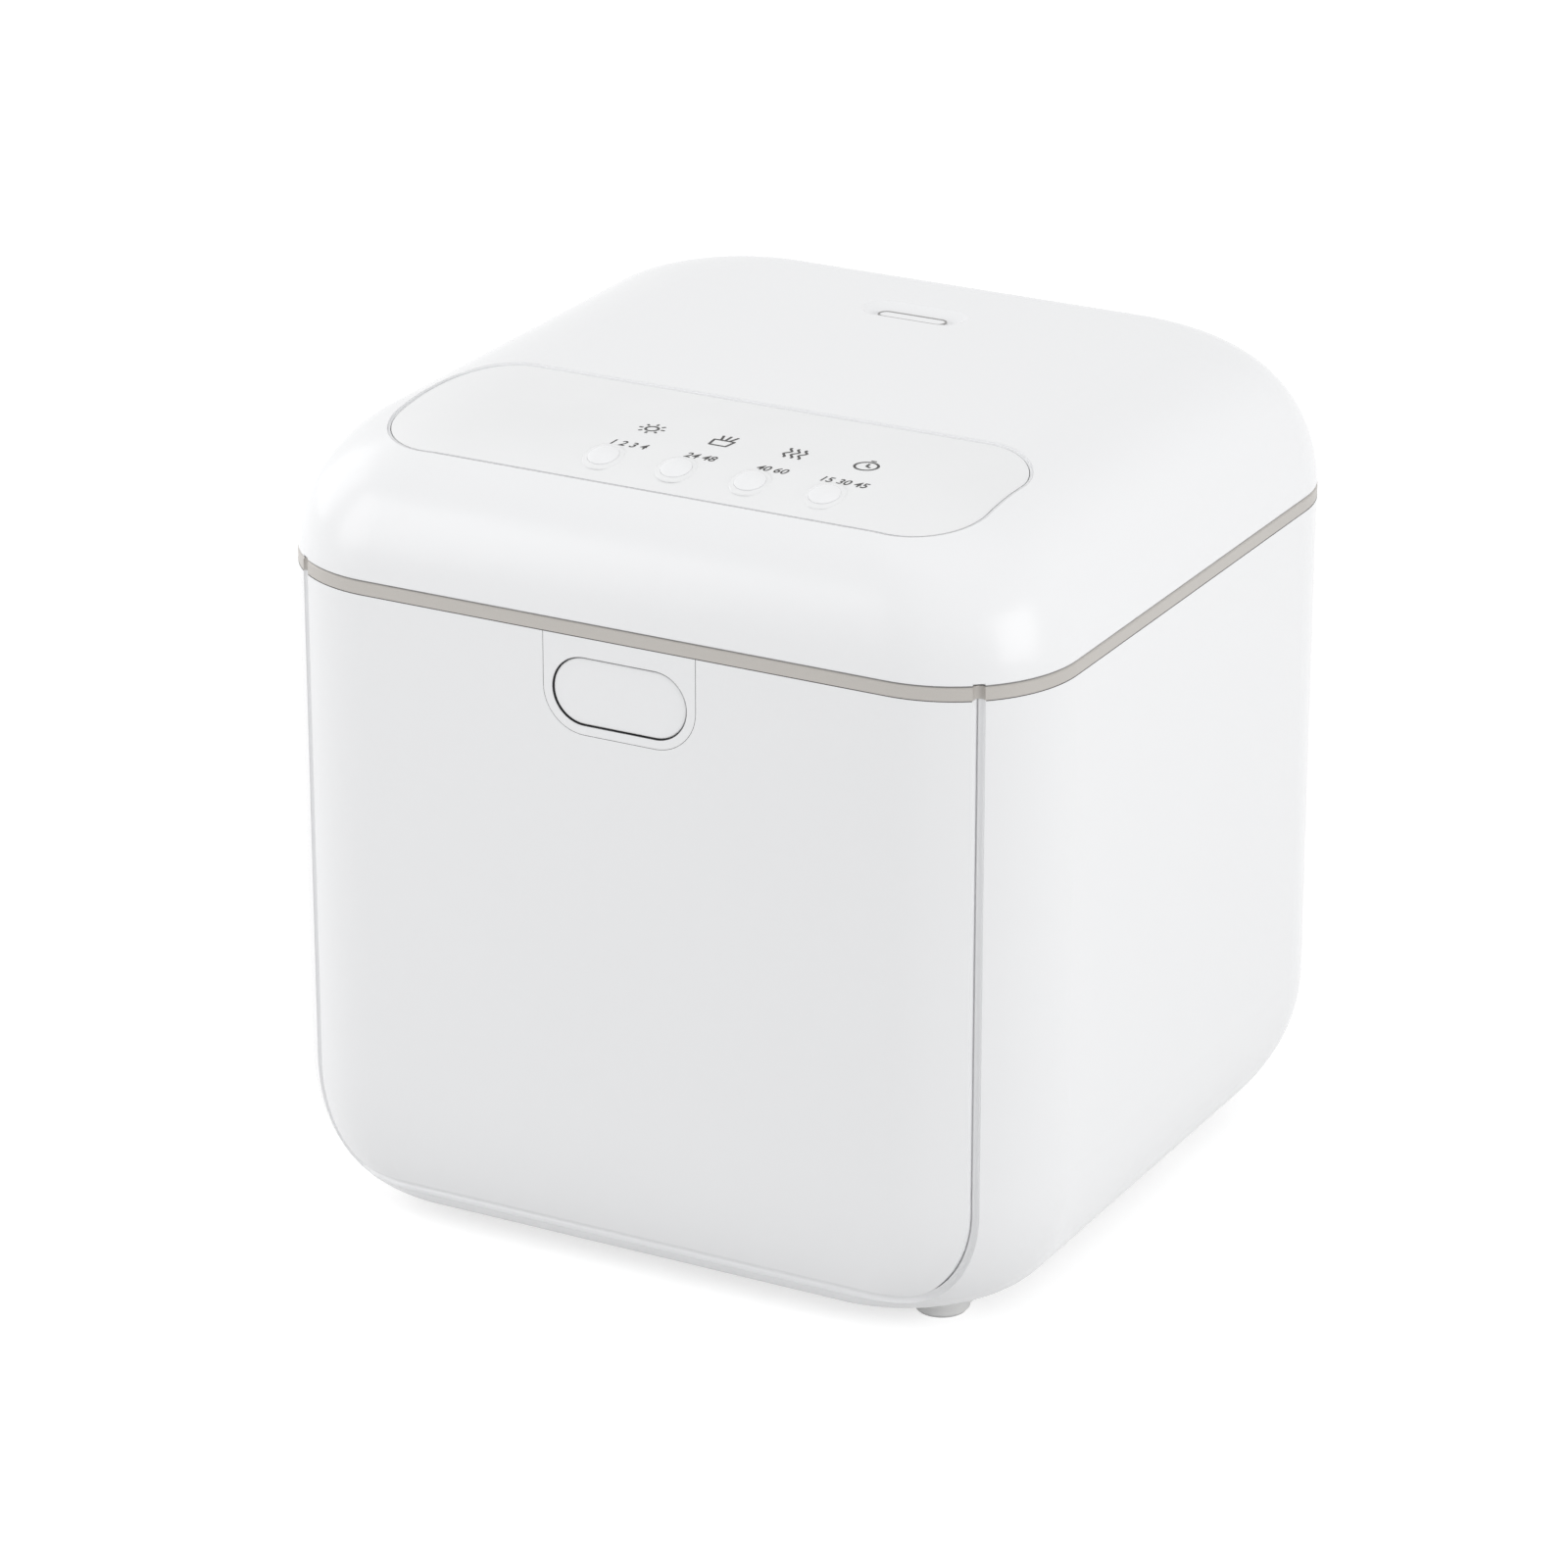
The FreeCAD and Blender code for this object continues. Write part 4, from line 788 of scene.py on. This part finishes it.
for (name, strokes), across in zip(MARKS.items(), MARK_PLACES):
    line = bpy.data.curves.new(name, "CURVE")
    line.dimensions = "3D"
    line.bevel_depth = STROKE / 2
    line.bevel_resolution = 1
    line.use_fill_caps = True
    for corners, closed in strokes:
        points = in_steps(corners, closed)
        run = line.splines.new("POLY")
        run.points.add(len(points) - 1)
        for knot, (x, y) in zip(run.points, points):
            knot.co = (x * MM, y * MM, 0.0, 1.0)
        run.use_cyclic_u = closed
    mark = bpy.data.objects.new(name, line)
    bpy.context.scene.collection.objects.link(mark)
    mark.location = (across, MARK_LINE, 0.0)
    as_mesh(mark)
    lay_on_overlay(mark)
    fit(mark, ink.material, "lid")

for number, (label, across) in enumerate(zip(NUMBER_ROWS, MARK_PLACES), 1):
    bpy.ops.object.select_all(action="DESELECT")
    bpy.ops.object.text_add(location=(across, NUMBER_LINE, 0.0))
    row = bpy.context.object
    row.name = f"number_row_{number}"
    row.data.body = label
    row.data.size = NUMBER_SIZE
    row.data.shear = NUMBER_SLANT
    row.data.offset = NUMBER_WEIGHT
    row.data.align_x = "CENTER"
    row.data.extrude = STROKE / 2
    as_mesh(row)
    lay_on_overlay(row)
    fit(row, ink.material, "lid")

# ---------------------------------------------------------------------------------------------
# Inside of the lid
# A satin moulded liner closes the lid from below, with a silicone seal round it, a steel catch
# at the front, and a reflector of polished aluminium over the lamps.

liner_white = satin_moulding("liner_white", (0.8, 0.8, 0.79), roughness=0.4)
dress(liner_white, "lid_liner", "lamp_sockets")
dress(satin_moulding("seal_silicone", (0.7, 0.7, 0.68), roughness=0.55, grain=1800.0), "lid_seal")
dress(drawn_metal("catch_steel", (0.64, 0.64, 0.65), roughness=0.3), "lid_catch", "lid_magnet")
polished = drawn_metal("reflector", (0.88, 0.88, 0.89), roughness=0.1, along=(1.0, 80.0, 80.0))
dress(polished, "uv_reflector")

# ---------------------------------------------------------------------------------------------
# Lamp frame
# A grey satin moulding round the quartz window, fixed to the face of the liner. Its corners are
# rounded and its edges eased.

FRAME_RADIUS = 0.006
FRAME_MARGIN = 0.002
FRAME_LAP = 0.007
FRAME_THICK = 0.0014
FRAME_EASE = 0.0004
window_low, window_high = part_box("uv_window")
window_middle = (window_low + window_high) / 2
liner_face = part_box("lid_liner")[0].z

bpy.ops.object.select_all(action="DESELECT")
bpy.ops.mesh.primitive_plane_add(size=1.0, location=(0.0, window_middle.y, liner_face - FRAME_THICK))
lamp_frame = bpy.context.object
lamp_frame.name = "lamp_frame"
lamp_frame.scale = (window_high.x - window_low.x + 2 * FRAME_MARGIN,
                    window_high.y - window_low.y + 2 * FRAME_MARGIN, 1.0)
bpy.ops.object.transform_apply(location=True, rotation=True, scale=True)
bpy.ops.object.mode_set(mode="EDIT")
bpy.ops.mesh.select_all(action="SELECT")
bpy.ops.mesh.bevel(offset=FRAME_RADIUS, segments=10, affect="VERTICES")
open_outline(lamp_frame, FRAME_LAP, FRAME_THICK)
eased = lamp_frame.modifiers.new("eased", "BEVEL")
eased.width = FRAME_EASE
eased.segments = 3
eased.limit_method = "ANGLE"
frame_grey = satin_moulding("frame_grey", (0.42, 0.42, 0.42), roughness=0.4)
fit(lamp_frame, frame_grey, "lid")

# ---------------------------------------------------------------------------------------------
# Liner screws
# Six pan-head screws like those of the hinge hold the liner up in the lid, three on each side.

LINER_SCREWS = ((-0.108, -0.092), (0.108, -0.092), (-0.108, 0.002), (0.108, 0.002),
                (-0.108, 0.096), (0.108, 0.096))

for number, (across, along) in enumerate(LINER_SCREWS, 1):
    seat = (across, along, liner_face)
    drive(screw_head, f"liner_screw_{number}", seat, (0.0, 0.0, -1.0), "lid")
bpy.data.objects.remove(screw_head)

# ---------------------------------------------------------------------------------------------
# Lamps and window
# Two lamp tubes and the window below them are clear quartz glass with a faint smear of handling.

quartz = Finish("quartz", transmission_weight=1.0, ior=1.46)
smear = quartz.noise(scale=30.0, detail=3.0)
quartz.feed("Base Color", quartz.blend(smear, (0.93, 0.97, 1.0), (0.98, 0.99, 1.0)))
quartz.feed("Roughness", 0.02 + smear * 0.05)
dress(quartz.material, "uv_window", "uv_lamps")

# ---------------------------------------------------------------------------------------------
# Stage
# A pale paper floor that keeps the object's shadow, an even white room, four soft lamps, and
# the camera. The floor's glow and the white backdrop are for the camera and for reflections.

CAMERA_PLACE = (0.9845, -1.8543, 0.9758)
CAMERA_DOWN = math.radians(21.864)
CAMERA_TURN = math.radians(28.333)
CAMERA_LENS = 147.3
CAMERA_SENSOR = 36.0
CAMERA_REACH = 60.0
WHITE = (1.0, 1.0, 1.0)
BLACK = (0.0, 0.0, 0.0)
FLOOR_SIZE = 40.0
FLOOR_GREY = (0.62, 0.62, 0.62)
FLOOR_GLOW = 0.62
ROOM_LIGHT = 0.745
LAMP_AIM = (0.0, 0.0, 0.15)


def seen_directly(wiring):
    """1 for camera, glossy and transmission rays, which see the backdrop and not its light."""
    camera_ray, glossy_ray, clear_ray = [
        wiring.node("ShaderNodeLightPath", out=label)
        for label in ("Is Camera Ray", "Is Glossy Ray", "Is Transmission Ray")]
    mirrored = wiring.node("ShaderNodeMath", {"operation": "MAXIMUM"}, {0: glossy_ray, 1: clear_ray})
    return wiring.node("ShaderNodeMath", {"operation": "MAXIMUM"}, {0: camera_ray, 1: mirrored})


bpy.ops.object.select_all(action="DESELECT")
bpy.ops.mesh.primitive_plane_add(size=FLOOR_SIZE, location=(0.0, 0.0, 0.0))
floor = bpy.context.object
floor.name = "floor"
bpy.ops.object.transform_apply(location=True, rotation=True, scale=True)
paper = Finish("floor_paper", roughness=0.9, specular_ior_level=0.0, base_color=FLOOR_GREY)
glow = paper.blend(seen_directly(paper), BLACK, tint(WHITE, FLOOR_GLOW))
paper.feed("Emission Color", glow)
paper.feed("Emission Strength", 1.0)
floor.data.materials.append(paper.material)

world = bpy.data.worlds.new("studio")
bpy.context.scene.world = world
world.use_nodes = True
sky = Wiring(world.node_tree)
room = sky.node("ShaderNodeBackground", inputs={"Color": WHITE, "Strength": ROOM_LIGHT})
backdrop = sky.node("ShaderNodeBackground", inputs={"Color": WHITE, "Strength": 1.0})
both = sky.node("ShaderNodeMixShader", inputs={0: seen_directly(sky), 1: room, 2: backdrop})
sky.join(world.node_tree.nodes["World Output"].inputs["Surface"], both)


def soft_box(name, place, side, watts):
    """Square lamp aimed at the middle of the box."""
    lamp = bpy.data.lights.new(name, "AREA")
    lamp.shape = "SQUARE"
    lamp.size = side
    lamp.energy = watts
    holder = bpy.data.objects.new(name, lamp)
    holder.location = place
    holder.rotation_euler = (Vector(LAMP_AIM) - Vector(place)).to_track_quat("-Z", "Y").to_euler()
    bpy.context.scene.collection.objects.link(holder)


soft_box("top_box", (0.0, 0.0, 2.2), side=1.6, watts=1.6)
soft_box("right_box", (2.2, -0.3, 0.8), side=1.4, watts=15.5)
soft_box("front_left_box", (-1.6, -1.7, 0.9), side=1.4, watts=13.5)
soft_box("left_box", (-2.2, 0.2, 1.0), side=1.4, watts=7.2)

lens = bpy.data.cameras.new("camera")
lens.lens = CAMERA_LENS
lens.sensor_width = CAMERA_SENSOR
lens.clip_end = CAMERA_REACH
camera = bpy.data.objects.new("camera", lens)
camera.location = CAMERA_PLACE
camera.rotation_euler = (math.pi / 2 - CAMERA_DOWN, 0.0, CAMERA_TURN)
bpy.context.scene.collection.objects.link(camera)
bpy.context.scene.camera = camera
bpy.context.scene.view_settings.view_transform = "Standard"
